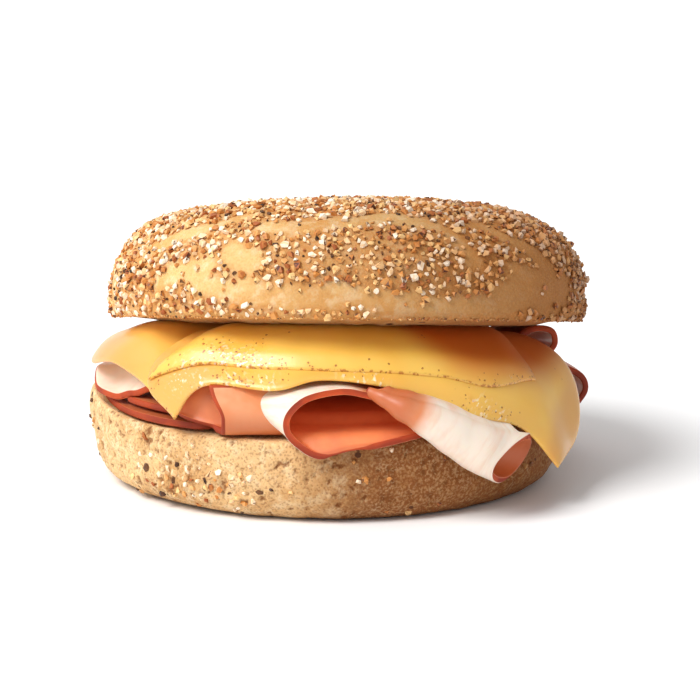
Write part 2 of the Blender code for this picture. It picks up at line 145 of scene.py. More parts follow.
def through(t, points):
    """The point at t, 0 to 1, of a smooth curve through evenly timed points."""
    last = len(points) - 1
    i = min(int(max(t, 0.0) * last), last - 1)
    f = min(max(t * last - i, 0.0), 1.0)
    b, c = Vector(points[i]), Vector(points[i + 1])
    a = Vector(points[i - 1]) if i > 0 else 2 * b - c
    d = Vector(points[i + 2]) if i + 2 <= last else 2 * c - b
    curve = (2 * a - 5 * b + 4 * c - d) * f ** 2 + (3 * b - a - 3 * c + d) * f ** 3
    return 0.5 * (2 * b + (c - a) * f + curve)


def lid_plane(x, y):
    """Height of the lid's cut face over a point."""
    return LID_CENTRE.z - math.tan(LID_LEAN) * (y - LID_CENTRE.y) - math.tan(LID_ROLL) * (x - LID_CENTRE.x)


def heel_top(y):
    """Height of the heel's cut face, which dips a little towards the back."""
    return HEEL_HEIGHT - HEEL_BACK_DROP * (y / HEEL_RADIUS + 1) / 2


def toward(x, y, azimuth, spread):
    """How near a point lies to an azimuth, in degrees: 1 there, falling to 0 either side."""
    off = (math.degrees(math.atan2(y, x)) - azimuth + 180) % 360 - 180
    return math.exp(-(off / spread) ** 2)


def fall_rows():
    """How the pile falls away, as tables of radius, height and slope by azimuth and arc length."""
    radius = np.zeros((ROWS, STEPS))
    height = np.zeros((ROWS, STEPS))
    slope = np.zeros((ROWS, STEPS))
    for row in range(ROWS):
        bearing = -180 + 360 * row / (ROWS - 1)
        flat = math.atan(math.tan(LID_LEAN) * math.sin(math.radians(bearing)))
        for low, high in zip(PILE_FALL, PILE_FALL[1:]):
            if bearing <= high[0]:
                break
        t = ease((bearing - low[0]) / (high[0] - low[0]))
        leave, first, turn, hang = [mix(a, b, t) for a, b in zip(low[1:], high[1:])]
        r, z = 0.0, PILE_MIDDLE
        for step in range(STEPS):
            radius[row, step], height[row, step] = r, z
            tilt = [mix(mix(flat, math.radians(first), ease((s * MM - leave * MM) / FALL_EASE)),
                        math.radians(hang), ease((s * MM - turn * MM) / FALL_EASE))
                    for s in (step, step + 0.5)]
            slope[row, step] = tilt[0]
            r += MM * math.cos(tilt[1])
            z -= MM * math.sin(tilt[1])
    return radius, height, slope


PILE_MIDDLE = lid_plane(0, 0) - GAP - 2.6 * SETTLE
FALL_RADIUS, FALL_HEIGHT, FALL_SLOPE = fall_rows()


def row_at(x, y):
    """The table's row just before a point's azimuth, and how far the point lies towards the next."""
    place = (math.degrees(math.atan2(y, x)) + 180) / 360 * (ROWS - 1)
    row = min(int(place), ROWS - 2)
    return row, place - row


def drape(x, y, lift):
    """A flat point laid over the pile and raised by lift square to it."""
    row, f = row_at(x, y)
    reach = min(math.hypot(x, y) / MM, STEPS - 1.001)
    step = int(reach)
    g = reach - step
    weights = (((1 - f) * (1 - g), row, step), ((1 - f) * g, row, step + 1),
               (f * (1 - g), row + 1, step), (f * g, row + 1, step + 1))
    radius, height, slope = [sum(w * table[r, s] for w, r, s in weights)
                             for table in (FALL_RADIUS, FALL_HEIGHT, FALL_SLOPE)]
    radius += lift * math.sin(slope)
    height += lift * math.cos(slope)
    turn = math.atan2(y, x)
    return Vector((radius * math.cos(turn), radius * math.sin(turn), height))


def pile_top(x, y):
    """Height and slope of the pile, where the lowest cheese's middle surface lies, over a point."""
    row, f = row_at(x, y)
    out, height, slope = [table[row] * (1 - f) + table[row + 1] * f
                          for table in (FALL_RADIUS, FALL_HEIGHT, FALL_SLOPE)]
    reach = math.hypot(x, y)
    return np.interp(reach, out, height), np.interp(reach, out, slope)


def left_rise(x, y):
    """How far the lowest cheese lifts above the pile at the left, where nothing lies on it."""
    return LEFT_RISE * ease((-x - 27 * MM) / (13 * MM)) * ease((y + 35 * MM) / (14 * MM))


def left_lift(x, y):
    """How far the finished left slice lifts above the pile: behind its front edge it meets the lid."""
    rise = left_rise(x, y)
    meets = ease((-x - 16 * MM) / (6 * MM)) * ease((y + 28 * MM) / (11 * MM))
    meets *= 1 - ease((-x - 39 * MM) / (8 * MM))
    return mix(rise, max(rise, 4.5 * MM), meets)


def crowding(x):
    """Extra room between the slices where they bend sharply at the left."""
    return 0.4 * MM * ease((-x - 16 * MM) / (12 * MM))


def roof(x, y):
    """Height of a turkey slice's middle surface right under the cheese."""
    height, slope = pile_top(x, y)
    under = SETTLE * ease((y + 48 * MM) / (9 * MM))
    return height + left_rise(x, y) - (under + 0.15 * MM) / math.cos(slope)


def floor(y):
    """Height of a turkey slice's middle surface on the flat slice."""
    return heel_top(y) + 2 * GAP + 1.5 * TURKEY + 0.25 * MM


def patch(front, right, back, left):
    """A flat outline as a function of (u, v), from points along its four sides: front and back run
    left to right, left and right run front to back."""
    a, b, c, d = [Vector(p) * MM for p in (front[0], front[-1], back[-1], back[0])]

    def at(u, v):
        ahead = through(u, front) * MM * (1 - v) + through(u, back) * MM * v
        aside = through(v, left) * MM * (1 - u) + through(v, right) * MM * u
        return ahead + aside - (a * (1 - u) * (1 - v) + b * u * (1 - v) + c * u * v + d * (1 - u) * v)

    return at


LEFT_SLICE = patch(((-43.3, -37), (-20, -34), (4, -26)),
                   ((4, -26), (7, 5), (8, 34)),
                   ((-48, 22), (-22, 31), (8, 34)),
                   ((-43.3, -37), (-47.2, -25), (-53.2, -9), (-53, 8), (-48, 22)))
MAIN_SLICE = patch(((-37.3, -51.8), (-28.5, -49), (-12.3, -56), (-1.6, -54.5), (12, -55), (24, -54),
                    (35, -53.5), (49, -45), (61.1, -45.3)),
                   ((61.1, -45.3), (65.5, -25), (61, -11), (50, -2), (40, 11), (33, 23), (28, 34)),
                   ((-16, 44), (8, 43), (28, 34)),
                   ((-37.3, -51.8), (-41.2, -38), (-31, -29), (-23, -9), (-18, 16), (-16, 44)))
TOP_SLICE = patch(((-40.2, -38.6), (-26, -45), (-12.5, -50.5), (1, -52.5), (14, -51.5), (26, -48),
                   (37.5, -42.5), (48, -27.5)),
                  ((48, -27.5), (41, -16), (37, 0), (34, 17), (27, 31)),
                  ((-12, 41), (8, 40), (27, 31)),
                  ((-40.2, -38.6), (-27, -32.5), (-19, -12), (-14, 14), (-12, 41)))


def place_base(u, v):
    """The slice that lies flat on the heel. It stops short at the front, under the curl and the loop."""
    x, y = 2 * u - 1, 2 * v - 1
    x, y = x * math.sqrt(1 - y * y / 2), y * math.sqrt(1 - x * x / 2)
    turn, rim = math.atan2(y, x), math.hypot(x, y)
    azimuth = math.degrees(turn)
    reach = eased(azimuth, (-124, 52.6), (-114, 41.5), (-54, 41.5), (-44, 51.5), (-20, 52)) * MM
    reach *= 1 + 0.008 * math.sin(7 * turn)
    wave = 0.12 * MM * (1 + math.sin(5 * turn)) * ease(rim * 3 - 2)
    return Vector((x * reach, y * reach, heel_top(y * reach) + GAP + TURKEY / 2 + wave))


# Along the left slice, where its upper layer ends and where its lower one starts. The bend lies between.
UPPER_ENDS = 0.42
LOWER_STARTS = 0.58


def place_left(u, v):
    """The folded slice at the left: its upper layer's pale top shows outside the cheese, its lower
    layer shows as a second rim under it, and the fold between them lies inside the pile."""
    azimuth = mix(mix(218, 230, ease((v - 0.45) / 0.13)), 158, u)
    turn = math.radians(azimuth)
    upper_rim = eased(azimuth, (158, 23.8), (174, 24.0), (183, 24.8), (194, 22.3), (203, 22.2), (210, 24.0),
                      (218, 26.2)) * MM
    upper_reach = eased(azimuth, (158, 51.5), (174, 53.2), (192, 54.9), (218, 50.5)) * MM
    lower_reach = eased(azimuth, (196, 44), (208, 51.6), (230, 51.0)) * MM
    fold = 20.5 * MM
    if v < UPPER_ENDS:
        radius = mix(upper_reach, fold, v / UPPER_ENDS)
        side = 1.0
    elif v > LOWER_STARTS:
        radius = mix(fold, lower_reach, (v - LOWER_STARTS) / 0.42)
        side = 0.0
    else:
        bend = math.pi * (v - UPPER_ENDS) / 0.16
        radius = fold - 3.4 * MM * math.sin(bend)
        side = 0.5 + 0.5 * math.cos(bend)
    x, y = radius * math.cos(turn), radius * math.sin(turn)
    high, low = roof(x, y), floor(y)
    if side == 1.0:
        high = mix(high, upper_rim, ease((radius - 38 * MM) / (14 * MM)))
    return Vector((x, y, mix(low, high, side)))


# The share of the curl's length that follows its path. The tail is the rest.
CURL_WALLS = 0.72
CURL_PATH = ((-49.0, 31.0), (-51.3, 27.2), (-51.8, 24.0), (-50.5, 21.4), (-48.0, 20.3), (-45.6, 21.3),
             (-44.6, 24.2), (-43.6, 28.0), (-40.5, 31.0), (-33.0, 31.0))


def place_curl(u, v):
    """The slice that curls at the front left: a near wall, a bend on the heel, a far wall that shows
    further to the left, and a tail that runs back through the pile."""
    if v < CURL_WALLS:
        y, z = through(v / CURL_WALLS, CURL_PATH) * MM
    else:
        y, z = mix(-33, 12, (v - CURL_WALLS) / 0.28) * MM, 0
    left = eased(v, (0.0, -26.2), (0.16, -23.4), (0.3, -23.6), (0.38, -25.4), (0.46, -34.2), (0.6, -34.2),
                 (0.8, -32.5), (1.0, -30)) * MM
    right = eased(v, (0.0, -12.4), (0.16, -10.8), (0.3, -8.8), (0.38, -11.5), (0.5, -17.0)) * MM
    x = mix(left, right, u)
    y += 3.2 * MM * ease((-x - 26 * MM) / (9 * MM)) * ease((v - 0.38) / 0.08)
    if v > 0.64:
        level = mix(floor(y), roof(x, y), 0.5)
        z = level if v >= CURL_WALLS else mix(z, level, ease((v - 0.64) / 0.08))
    return Vector((x, y, z))


LOOP_MOUTH = ((19.5, 27.2), (14.5, 28.4), (8.6, 30.3), (3.0, 31.3), (-4.4, 29.9), (-8.4, 26.4), (-8.7, 22.6),
              (-6.0, 19.3), (-1.6, 16.8), (4.5, 17.3), (11.5, 18.8), (18.0, 19.9), (24.0, 20.5))
LOOP_TAIL = ((20, 1), (14, 1), (8, 1), (1, 1), (-6, 1), (-9.6, 0.9), (-10.6, 0.5),
             (-9.6, 0.1), (-6, 0), (1, 0), (8, 0), (14, 0), (20, 0))
LOOP_DEPTH = 66 * MM
LOOP_FLOOR = ((42.6, 22.7), (47, 20.8), (52, 20.7), (53.4, 20.6), (54.6, 20.1), (55.8, 18.6), (57.4, 16.6))


def place_loop(u, v):
    """The big open fold at the front: its rim hangs over the heel's edge, its near left side shows
    outside, and it flattens as it runs back through the pile."""
    mouth, tail = through(u, LOOP_MOUTH), through(u, LOOP_TAIL)
    depth = LOOP_DEPTH * (0.25 * v + 0.75 * v * v)
    back = ease(depth / (26 * MM))
    swell = 8.0 * MM * ease(depth / (9 * MM)) * (1 - ease((depth - 11 * MM) / (18 * MM)))
    x = mix(mouth.x, tail.x, back) * MM - swell * ease(0.5 - mouth.x / 16) * ease((mouth.y - 18) / 12)
    y = (-57.2 + 0.185 * mouth.x + 0.03 * max(mouth.x - 12, 0) ** 2) * MM + depth
    radius = math.hypot(x, y) / MM
    low = max(eased(radius, *LOOP_FLOOR) * MM, floor(y) if radius < 42.6 else 0)
    high = roof(x, y) + max(0, radius - 53.5) * 2 * MM
    level = mix(low, mix(low, high, 0.8), tail.y)
    z = mix(mouth.y * MM, level, back)
    return Vector((x, y, min(max(z, low), high)))


ROLL_AXIS = ((9.0, -54.2, 31.0), (13.2, -56.2, 29.4), (18.0, -57.0, 27.1), (23.2, -55.9, 24.3),
             (28.6, -53.2, 20.6), (34.0, -50.2, 17.0), (38.6, -46.9, 14.5), (43.6, -43.1, 12.3),
             (48.6, -38.9, 10.5))
ROLL_RADIUS = ((0.0, 0.4), (0.12, 1.2), (0.25, 2.4), (0.37, 3.4), (0.5, 4.2), (0.62, 4.9), (1.0, 6.1))


def place_roll(u, v):
    """The cone-shaped roll that hangs outside the heel at the front right, its lower end cut on the slant
    towards the front. Its sheet leaves over the roll's top and runs in under the cheese."""
    start = mix(300, 82, ease(u / 0.55))
    leaves = ease((u - 0.06) / 0.18) * (1 - ease((u - 0.76) / 0.2))
    wrap = mix(0.98, 0.66, leaves)
    turn = math.radians(mix(start, 440, min(v / wrap, 1)))
    slant = 0.17 * u ** 3 * (1 + math.cos(turn + math.radians(20)))
    w = u - slant
    centre = through(w, ROLL_AXIS)
    along = (through(min(w + 0.05, 1), ROLL_AXIS) - through(max(w - 0.05, 0), ROLL_AXIS)).normalized()
    out = along.cross(Vector((0, 0, 1))).normalized()
    up = out.cross(along)
    radius = eased(w, *ROLL_RADIUS)
    tight = mix(0.72, 1.0, max(ease(v / 0.4), ease((u - 0.56) / 0.2), 1 - ease((u - 0.2) / 0.2)))
    around = centre + (out * math.cos(turn) + up * math.sin(turn)) * radius * tight
    if v <= wrap:
        return around * MM
    run = (v - wrap) / (1 - wrap)
    away = up * math.cos(turn) - out * math.sin(turn)
    azimuth = math.atan2(centre.y, centre.x)
    laid = [drape(s * MM * math.cos(azimuth), s * MM * math.sin(azimuth), -0.8 * MM) / MM
            for s in (56, 49, 40)]
    share = mix(0.03, 1, leaves)
    return through(run * share, [around, around + away * 2.0 + Vector((0, 0, 0.8)), *laid]) * MM


RIGHT_PATH = ((29, 27), (35, 27), (40.5, 27.3), (45.5, 30.6), (50.0, 33.0), (54.0, 32.4), (54.4, 29.0),
              (52.4, 25.4), (53.6, 22.5), (57.8, 21.2), (61.0, 19.2), (61.6, 16.2), (59.6, 13.0))
RIPPLE_FOOT = 22.3


def place_right(u, v):
    """The slice at the right that comes out from under the cheese in one ripple and hangs in another."""
    azimuth = mix(12, 36, u)
    turn = math.radians(azimuth)
    radius, z = through(v, RIGHT_PATH)
    radius += (radius - 45) * 0.06 * math.sin(math.radians(azimuth * 5)) * ease(v * 2 - 1)
    x, y = radius * MM * math.cos(turn), radius * MM * math.sin(turn)
    level = min(roof(x, y), lid_plane(x, y) - 3 * MM)
    room = (lid_plane(x, y) / MM - 1.7 - RIPPLE_FOOT) / (33.4 - RIPPLE_FOOT)
    if z > RIPPLE_FOOT:
        z = RIPPLE_FOOT + (z - RIPPLE_FOOT) * room
    pinch = 4 * (1 - room) * ease((v - 0.42) / 0.12) * (1 - ease((v - 0.7) / 0.15)) * MM
    x += pinch * math.cos(turn)
    y += pinch * math.sin(turn)
    return Vector((x, y, min(mix(level, z * MM, ease((v - 0.17) / 0.1)), lid_plane(x, y) - 1.6 * MM)))


def finished(obj, material, slot, *nodes):
    """Gives a finished piece its material and its body, and hides the imported parts that it stands for. slot
    is not used.
    """
    obj.data.materials.append(material)
    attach(obj, "root")
    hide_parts(*nodes)


def linked(name, data):
    """An object of that name in the scene."""
    obj = bpy.data.objects.new(name, data)
    bpy.context.scene.collection.objects.link(obj)
    return obj


def placed(name, bm):
    """A bmesh as an object of that name."""
    mesh = bpy.data.meshes.new(name)
    bm.to_mesh(mesh)
    bm.free()
    return linked(name, mesh)


def painted(obj, name, values):
    """Stores one number a vertex under a name, for the materials."""
    store = obj.data.attributes.new(name, "FLOAT", "POINT")
    store.data.foreach_set("value", np.asarray(values, dtype=np.float32))


# Slices

# Grid lines along a slice's cut edges, in mm from the edge.
EDGE_LINES = (0.0, 0.22, 0.6, 1.2)


def grid_lines(count, length):
    """Where a slice's grid lines run, 0 to 1: close together along the cut edges, even between."""
    near = [d * MM / length for d in EDGE_LINES]
    inner = count - 2 * (len(near) - 1)
    middle = [mix(near[-1], 1 - near[-1], i / inner) for i in range(1, inner)]
    return near + middle + [1 - d for d in reversed(near)]


def run_length(place, along_u):
    """The length of a slice's middle line, in metres."""
    points = [place(t / 24, 0.5) if along_u else place(0.5, t / 24) for t in range(25)]
    return sum((b - a).length for a, b in zip(points, points[1:]))


def sheet(name, across, along, place, thickness, square, soft, paint, turned_over=False):
    """A slice with true cut edges, across by along cells of place(u, v). square is the share of the
    thickness that the cut face keeps, and soft is how far in its edge is rounded. turned_over swaps its two
    faces. Its attributes are outside, edge (metres in from the cut edge), flat (the place on the flat slice
    in metres) and what paint(u, v) returns by name."""
    wide, deep = run_length(place, True), run_length(place, False)
    lines_u, lines_v = grid_lines(across, wide), grid_lines(along, deep)
    bm = bmesh.new()
    bmesh.ops.create_grid(bm, x_segments=across, y_segments=along, size=0.5)
    flat = []
    for vert in bm.verts:
        u = lines_u[round((vert.co.x + 0.5) * across)]
        v = lines_v[round((vert.co.y + 0.5) * along)]
        flat.append((u, v))
        vert.co = place(u, v)
    bmesh.ops.recalc_face_normals(bm, faces=bm.faces)
    obj = placed(name, bm)
    edges = [min(u * wide, (1 - u) * wide, v * deep, (1 - v) * deep) for u, v in flat]
    group = obj.vertex_groups.new(name="wall")
    for i, edge in enumerate(edges):
        inward = min(edge / soft, 1.0)
        group.add([i], square + (1 - square) * math.sqrt(1 - (1 - inward) ** 2), "REPLACE")
    wall = obj.modifiers.new("Thickness", "SOLIDIFY")
    wall.thickness = thickness
    wall.offset = 0
    wall.use_even_offset = False
    wall.vertex_group = "wall"
    middles = np.array([tuple(v.co) for v in obj.data.vertices])
    normals = np.array([tuple(v.normal) for v in obj.data.vertices])
    graph = bpy.context.evaluated_depsgraph_get()
    solid = bpy.data.meshes.new_from_object(obj.evaluated_get(graph))
    obj.modifiers.clear()
    obj.vertex_groups.clear()
    obj.data = solid
    solid.name = name
    count = len(flat)
    if len(solid.vertices) != 2 * count:
        raise RuntimeError(f"{name}: the two faces of the slice don't match its grid")
    ends = np.array([tuple(v.co) for v in solid.vertices])
    lifted = np.einsum("ij,ij->i", ends - np.tile(middles, (2, 1)), np.tile(normals, (2, 1))) > 0
    if turned_over:
        lifted = ~lifted
    painted(obj, "outside", lifted)
    painted(obj, "edge", np.tile(edges, 2))
    store = solid.attributes.new("flat", "FLOAT_VECTOR", "POINT")
    spots = np.array([(u * wide, v * deep, 0.0) for u, v in flat])
    store.data.foreach_set("vector", np.tile(spots, (2, 1)).astype(np.float32).ravel())
    rows = [paint(u, v) for u, v in flat]
    for key in rows[0]:
        painted(obj, key, np.tile([row[key] for row in rows], 2))
    smooth = obj.modifiers.new("Smooth", "SUBSURF")
    smooth.levels = 1
    smooth.render_levels = 1
    solid.shade_smooth()
    return obj


# Materials

# Colours that no setting changes
FLOUR = (0.95, 0.76, 0.46)
# Colour of the painted shade on the bread's side away from the light.
SHADED_SIDE_BREAD = (0.31, 0.115, 0.026)
# Colour of the painted shade on grain on the side away from the light.
SHADED_SIDE_GRAIN = (0.33, 0.12, 0.03)
BREAD_SPECK = (0.09, 0.03, 0.01)
CHEESE_SPECK = (0.36, 0.10, 0.008)
CHEESE_EDGE_DOT = (0.46, 0.14, 0.008)
# Colour of the painted highlights on the cheese's bubbled spots.
PAINTED_HIGHLIGHT = (1.0, 0.93, 0.78)
# Colour of the painted shade inside the rolled tube.
TUBE_SHADE = (0.52, 0.10, 0.015)
# Colours of the painted light that the turkey's inner and pale faces glow with.
PAINTED_LIGHT_INNER = (0.55, 0.06, 0.015)
PAINTED_LIGHT_OUTER = (0.95, 0.72, 0.52)


def new_material(name, roughness, **sockets):
    """A material whose Principled shader has its plain values set. Returns it, its tree and shader."""
    material = bpy.data.materials.new(name)
    material.use_nodes = True
    tree = material.node_tree
    shader = tree.nodes["Principled BSDF"]
    shader.inputs["Roughness"].default_value = roughness
    for key, value in sockets.items():
        shader.inputs[key.replace("_", " ")].default_value = value
    return material, tree, shader


def feed(tree, socket, value):
    """Gives a node's input a plain value or a link from another socket."""
    if isinstance(value, bpy.types.NodeSocket):
        tree.links.new(value, socket)
    else:
        socket.default_value = value


def math_node(tree, operation, a, b):
    """Two numbers or sockets reckoned together."""
    made = tree.nodes.new("ShaderNodeMath")
    made.operation = operation
    feed(tree, made.inputs[0], a)
    feed(tree, made.inputs[1], b)
    return made.outputs[0]


def span(tree, value, low, high, out_low=0.0, out_high=1.0, smooth=True):
    """A value mapped from one span to another, eased and clamped."""
    made = tree.nodes.new("ShaderNodeMapRange")
    made.interpolation_type = "SMOOTHSTEP" if smooth else "LINEAR"
    tree.links.new(value, made.inputs["Value"])
    for key, number in (("From Min", low), ("From Max", high), ("To Min", out_low), ("To Max", out_high)):
        made.inputs[key].default_value = number
    return made.outputs["Result"]


def blended(tree, share, a, b):
    """Two colours mixed by a share, each a colour or a socket."""
    made = tree.nodes.new("ShaderNodeMix")
    made.data_type = "RGBA"
    made.clamp_factor = True
    feed(tree, made.inputs[0], share)
    for key, value in ((6, a), (7, b)):
        feed(tree, made.inputs[key], value if isinstance(value, bpy.types.NodeSocket) else (*value, 1))
    return made.outputs[2]


def object_place(tree):
    """The object's own coordinates."""
    return tree.nodes.new("ShaderNodeTexCoord").outputs["Object"]


def object_noise(tree, scale, detail, roughness=0.55, vector=None):
    """Noise on the object's own coordinates, or on a vector that is given."""
    vector = object_place(tree) if vector is None else vector
    made = tree.nodes.new("ShaderNodeTexNoise")
    made.inputs["Scale"].default_value = scale
    made.inputs["Detail"].default_value = detail
    made.inputs["Roughness"].default_value = roughness
    tree.links.new(vector, made.inputs["Vector"])
    return made.outputs["Fac"]


def growing_right(tree, low, high, most, smooth=True):
    """A share that grows from 0 at the place low along X to most at the place high."""
    where = tree.nodes.new("ShaderNodeSeparateXYZ")
    tree.links.new(object_place(tree), where.inputs["Vector"])
    return span(tree, where.outputs["X"], low, high, 0, most, smooth)


def attribute(tree, name, output="Fac"):
    """What a mesh holds under a name, as a socket."""
    made = tree.nodes.new("ShaderNodeAttribute")
    made.attribute_name = name
    return made.outputs[output]


def along_slice(tree, stretch, turn=0.0):
    """The place on the flat slice, with the grain of what is drawn there stretched along the slice."""
    made = tree.nodes.new("ShaderNodeMapping")
    made.inputs["Rotation"].default_value = (0, 0, turn)
    made.inputs["Scale"].default_value = (1.0, stretch, 1.0)
    tree.links.new(attribute(tree, "flat", "Vector"), made.inputs["Vector"])
    return made.outputs["Vector"]


def bumped(tree, shader, height, strength, distance):
    """Roughens a shader's surface by a height."""
    made = tree.nodes.new("ShaderNodeBump")
    made.inputs["Strength"].default_value = strength
    made.inputs["Distance"].default_value = distance
    tree.links.new(height, made.inputs["Height"])
    tree.links.new(made.outputs["Normal"], shader.inputs["Normal"])


def empty_group(name, inputs, outputs):
    """A node group that holds only its inputs and outputs, with the nodes for both."""
    group = bpy.data.node_groups.new(name, "ShaderNodeTree")
    for way, keys in (("INPUT", inputs), ("OUTPUT", outputs)):
        for key in keys:
            group.interface.new_socket(key, in_out=way, socket_type="NodeSocketFloat")
    return group, group.nodes.new("NodeGroupInput"), group.nodes.new("NodeGroupOutput")


def speckle_group():
    """Small browned specks: scattered dots whose number follows the Amount input."""
    group, start, end = empty_group("toasted_specks", ("Amount", "Scale"), ("Mask",))
    where = object_place(group)
    cells = group.nodes.new("ShaderNodeTexVoronoi")
    warp = group.nodes.new("ShaderNodeTexNoise")
    warp.inputs["Scale"].default_value = 1100
    group.links.new(where, warp.inputs["Vector"])
    shifted = group.nodes.new("ShaderNodeVectorMath")
    shifted.operation = "MULTIPLY_ADD"
    shifted.inputs[1].default_value = (0.0006, 0.0006, 0.0006)
    group.links.new(warp.outputs["Color"], shifted.inputs[0])
    group.links.new(where, shifted.inputs[2])
    group.links.new(shifted.outputs[0], cells.inputs["Vector"])
    group.links.new(start.outputs["Scale"], cells.inputs["Scale"])
    chance = group.nodes.new("ShaderNodeSeparateColor")
    group.links.new(cells.outputs["Color"], chance.inputs[0])
    kept = math_node(group, "LESS_THAN", chance.outputs[0], start.outputs["Amount"])
    size = math_node(group, "MULTIPLY", chance.outputs[1], 0.32)
    size = math_node(group, "ADD", size, 0.16)
    inside = math_node(group, "SUBTRACT", size, cells.outputs["Distance"])
    soft = span(group, inside, 0.0, 0.1)
    group.links.new(math_node(group, "MULTIPLY", soft, kept), end.inputs["Mask"])
    return group


def crumb_group():
    """Bread crumb: a fine, uneven pore pattern as a height and a mask of the open pores."""
    group, start, end = empty_group("bread_crumb", ("Scale",), ("Height", "Pores"))
    where = object_place(group)
    fine = group.nodes.new("ShaderNodeTexNoise")
    fine.inputs["Detail"].default_value = 4
    fine.inputs["Roughness"].default_value = 0.65
    group.links.new(where, fine.inputs["Vector"])
    group.links.new(start.outputs["Scale"], fine.inputs["Scale"])
    pits = group.nodes.new("ShaderNodeTexVoronoi")
    pits.feature = "SMOOTH_F1"
    group.links.new(where, pits.inputs["Vector"])
    group.links.new(math_node(group, "MULTIPLY", start.outputs["Scale"], 0.8), pits.inputs["Scale"])
    height = math_node(group, "MULTIPLY", fine.outputs["Fac"], 0.7)
    height = math_node(group, "ADD", height, math_node(group, "MULTIPLY", pits.outputs["Distance"], 0.6))
    group.links.new(height, end.inputs["Height"])
    group.links.new(span(group, height, 0.62, 0.44), end.inputs["Pores"])
    return group


def group_node(tree, group, **inputs):
    """A node group's node, with its inputs fed."""
    made = tree.nodes.new("ShaderNodeGroup")
    made.node_tree = group
    for key, value in inputs.items():
        feed(tree, made.inputs[key], value)
    return made


def shared(name, maker):
    """A node group that is built once."""
    return bpy.data.node_groups.get(name) or maker()


def bread_material(name, looks, pale, brown, dark, side_shade):
    """Toasted crust or crumb: mottled pale to brown, with painted shade in the pores, darker where grain lies
    thick, and darker towards +X by side_shade and the browned attribute, as painted shade of the side away
    from the light."""
    material, tree, shader = new_material(
        name, 0.78, Specular_IOR_Level=0.25, Subsurface_Weight=0.12,
        Subsurface_Radius=(2.0 * MM, 1.0 * MM, 0.4 * MM), Subsurface_Scale=1.0)
    mottle = object_noise(tree, 70, 4)
    fine = object_noise(tree, 1500, 3)
    colour = blended(tree, span(tree, mottle, 0.38, 0.66), pale, brown)
    colour = blended(tree, span(tree, fine, 0.45, 0.7, 0, 0.35), colour, brown)
    flour = object_noise(tree, 300, 5, 0.65)
    colour = blended(tree, span(tree, flour, 0.47, 0.64, 0, 0.55), colour, FLOUR)
    browned = attribute(tree, "browned")
    flecked = math_node(tree, "MULTIPLY", browned, span(tree, fine, 0.36, 0.6, 0.62, 1.15))
    colour = blended(tree, flecked, colour, dark)
    # Painted shade: the bread darkens towards +X, the side away from the light.
    right_shade = growing_right(tree, -42 * MM, 50 * MM, side_shade, smooth=False)
    colour = blended(tree, right_shade, colour, SHADED_SIDE_BREAD)
    crumb = group_node(tree, shared("bread_crumb", crumb_group), Scale=looks.crumb_scale)
    # Painted shade in the pores: they take the dark colour.
    rough = attribute(tree, "crumb")
    pores = math_node(tree, "MULTIPLY", crumb.outputs["Pores"], span(tree, rough, 0, 1, 0.2, 0.45))
    colour = blended(tree, pores, colour, dark)
    specks = group_node(tree, shared("toasted_specks", speckle_group), Scale=420,
                        Amount=span(tree, rough, 0, 1, 0.0, 0.05))
    colour = blended(tree, specks.outputs["Mask"], colour, BREAD_SPECK)
    tree.links.new(colour, shader.inputs["Base Color"])
    bumped(tree, shader, crumb.outputs["Height"], 0.6, 0.3 * MM)
    return material


def grain_material(name, face, hull, char):
    """Cracked grain: starchy faces, a browned hull on some, burnt corners on a few, and painted shade towards
    +X.
    """
    material, tree, shader = new_material(name, 0.5, Specular_IOR_Level=0.35)
    mottle = object_noise(tree, 900, 2)
    colour = blended(tree, span(tree, attribute(tree, "tone"), 0.0, 1.0), face, hull)
    colour = blended(tree, span(tree, mottle, 0.5, 0.72, 0, 0.7), colour, hull)
    # Painted shade: grains darken towards +X, the side away from the light.
    colour = blended(tree, growing_right(tree, -8 * MM, 58 * MM, 0.74), colour, SHADED_SIDE_GRAIN)
    burnt = math_node(tree, "MULTIPLY", attribute(tree, "burnt"), span(tree, mottle, 0.3, 0.6))
    colour = blended(tree, burnt, colour, char)
    tree.links.new(colour, shader.inputs["Base Color"])
    bumped(tree, shader, mottle, 0.3, 0.15 * MM)
    return material


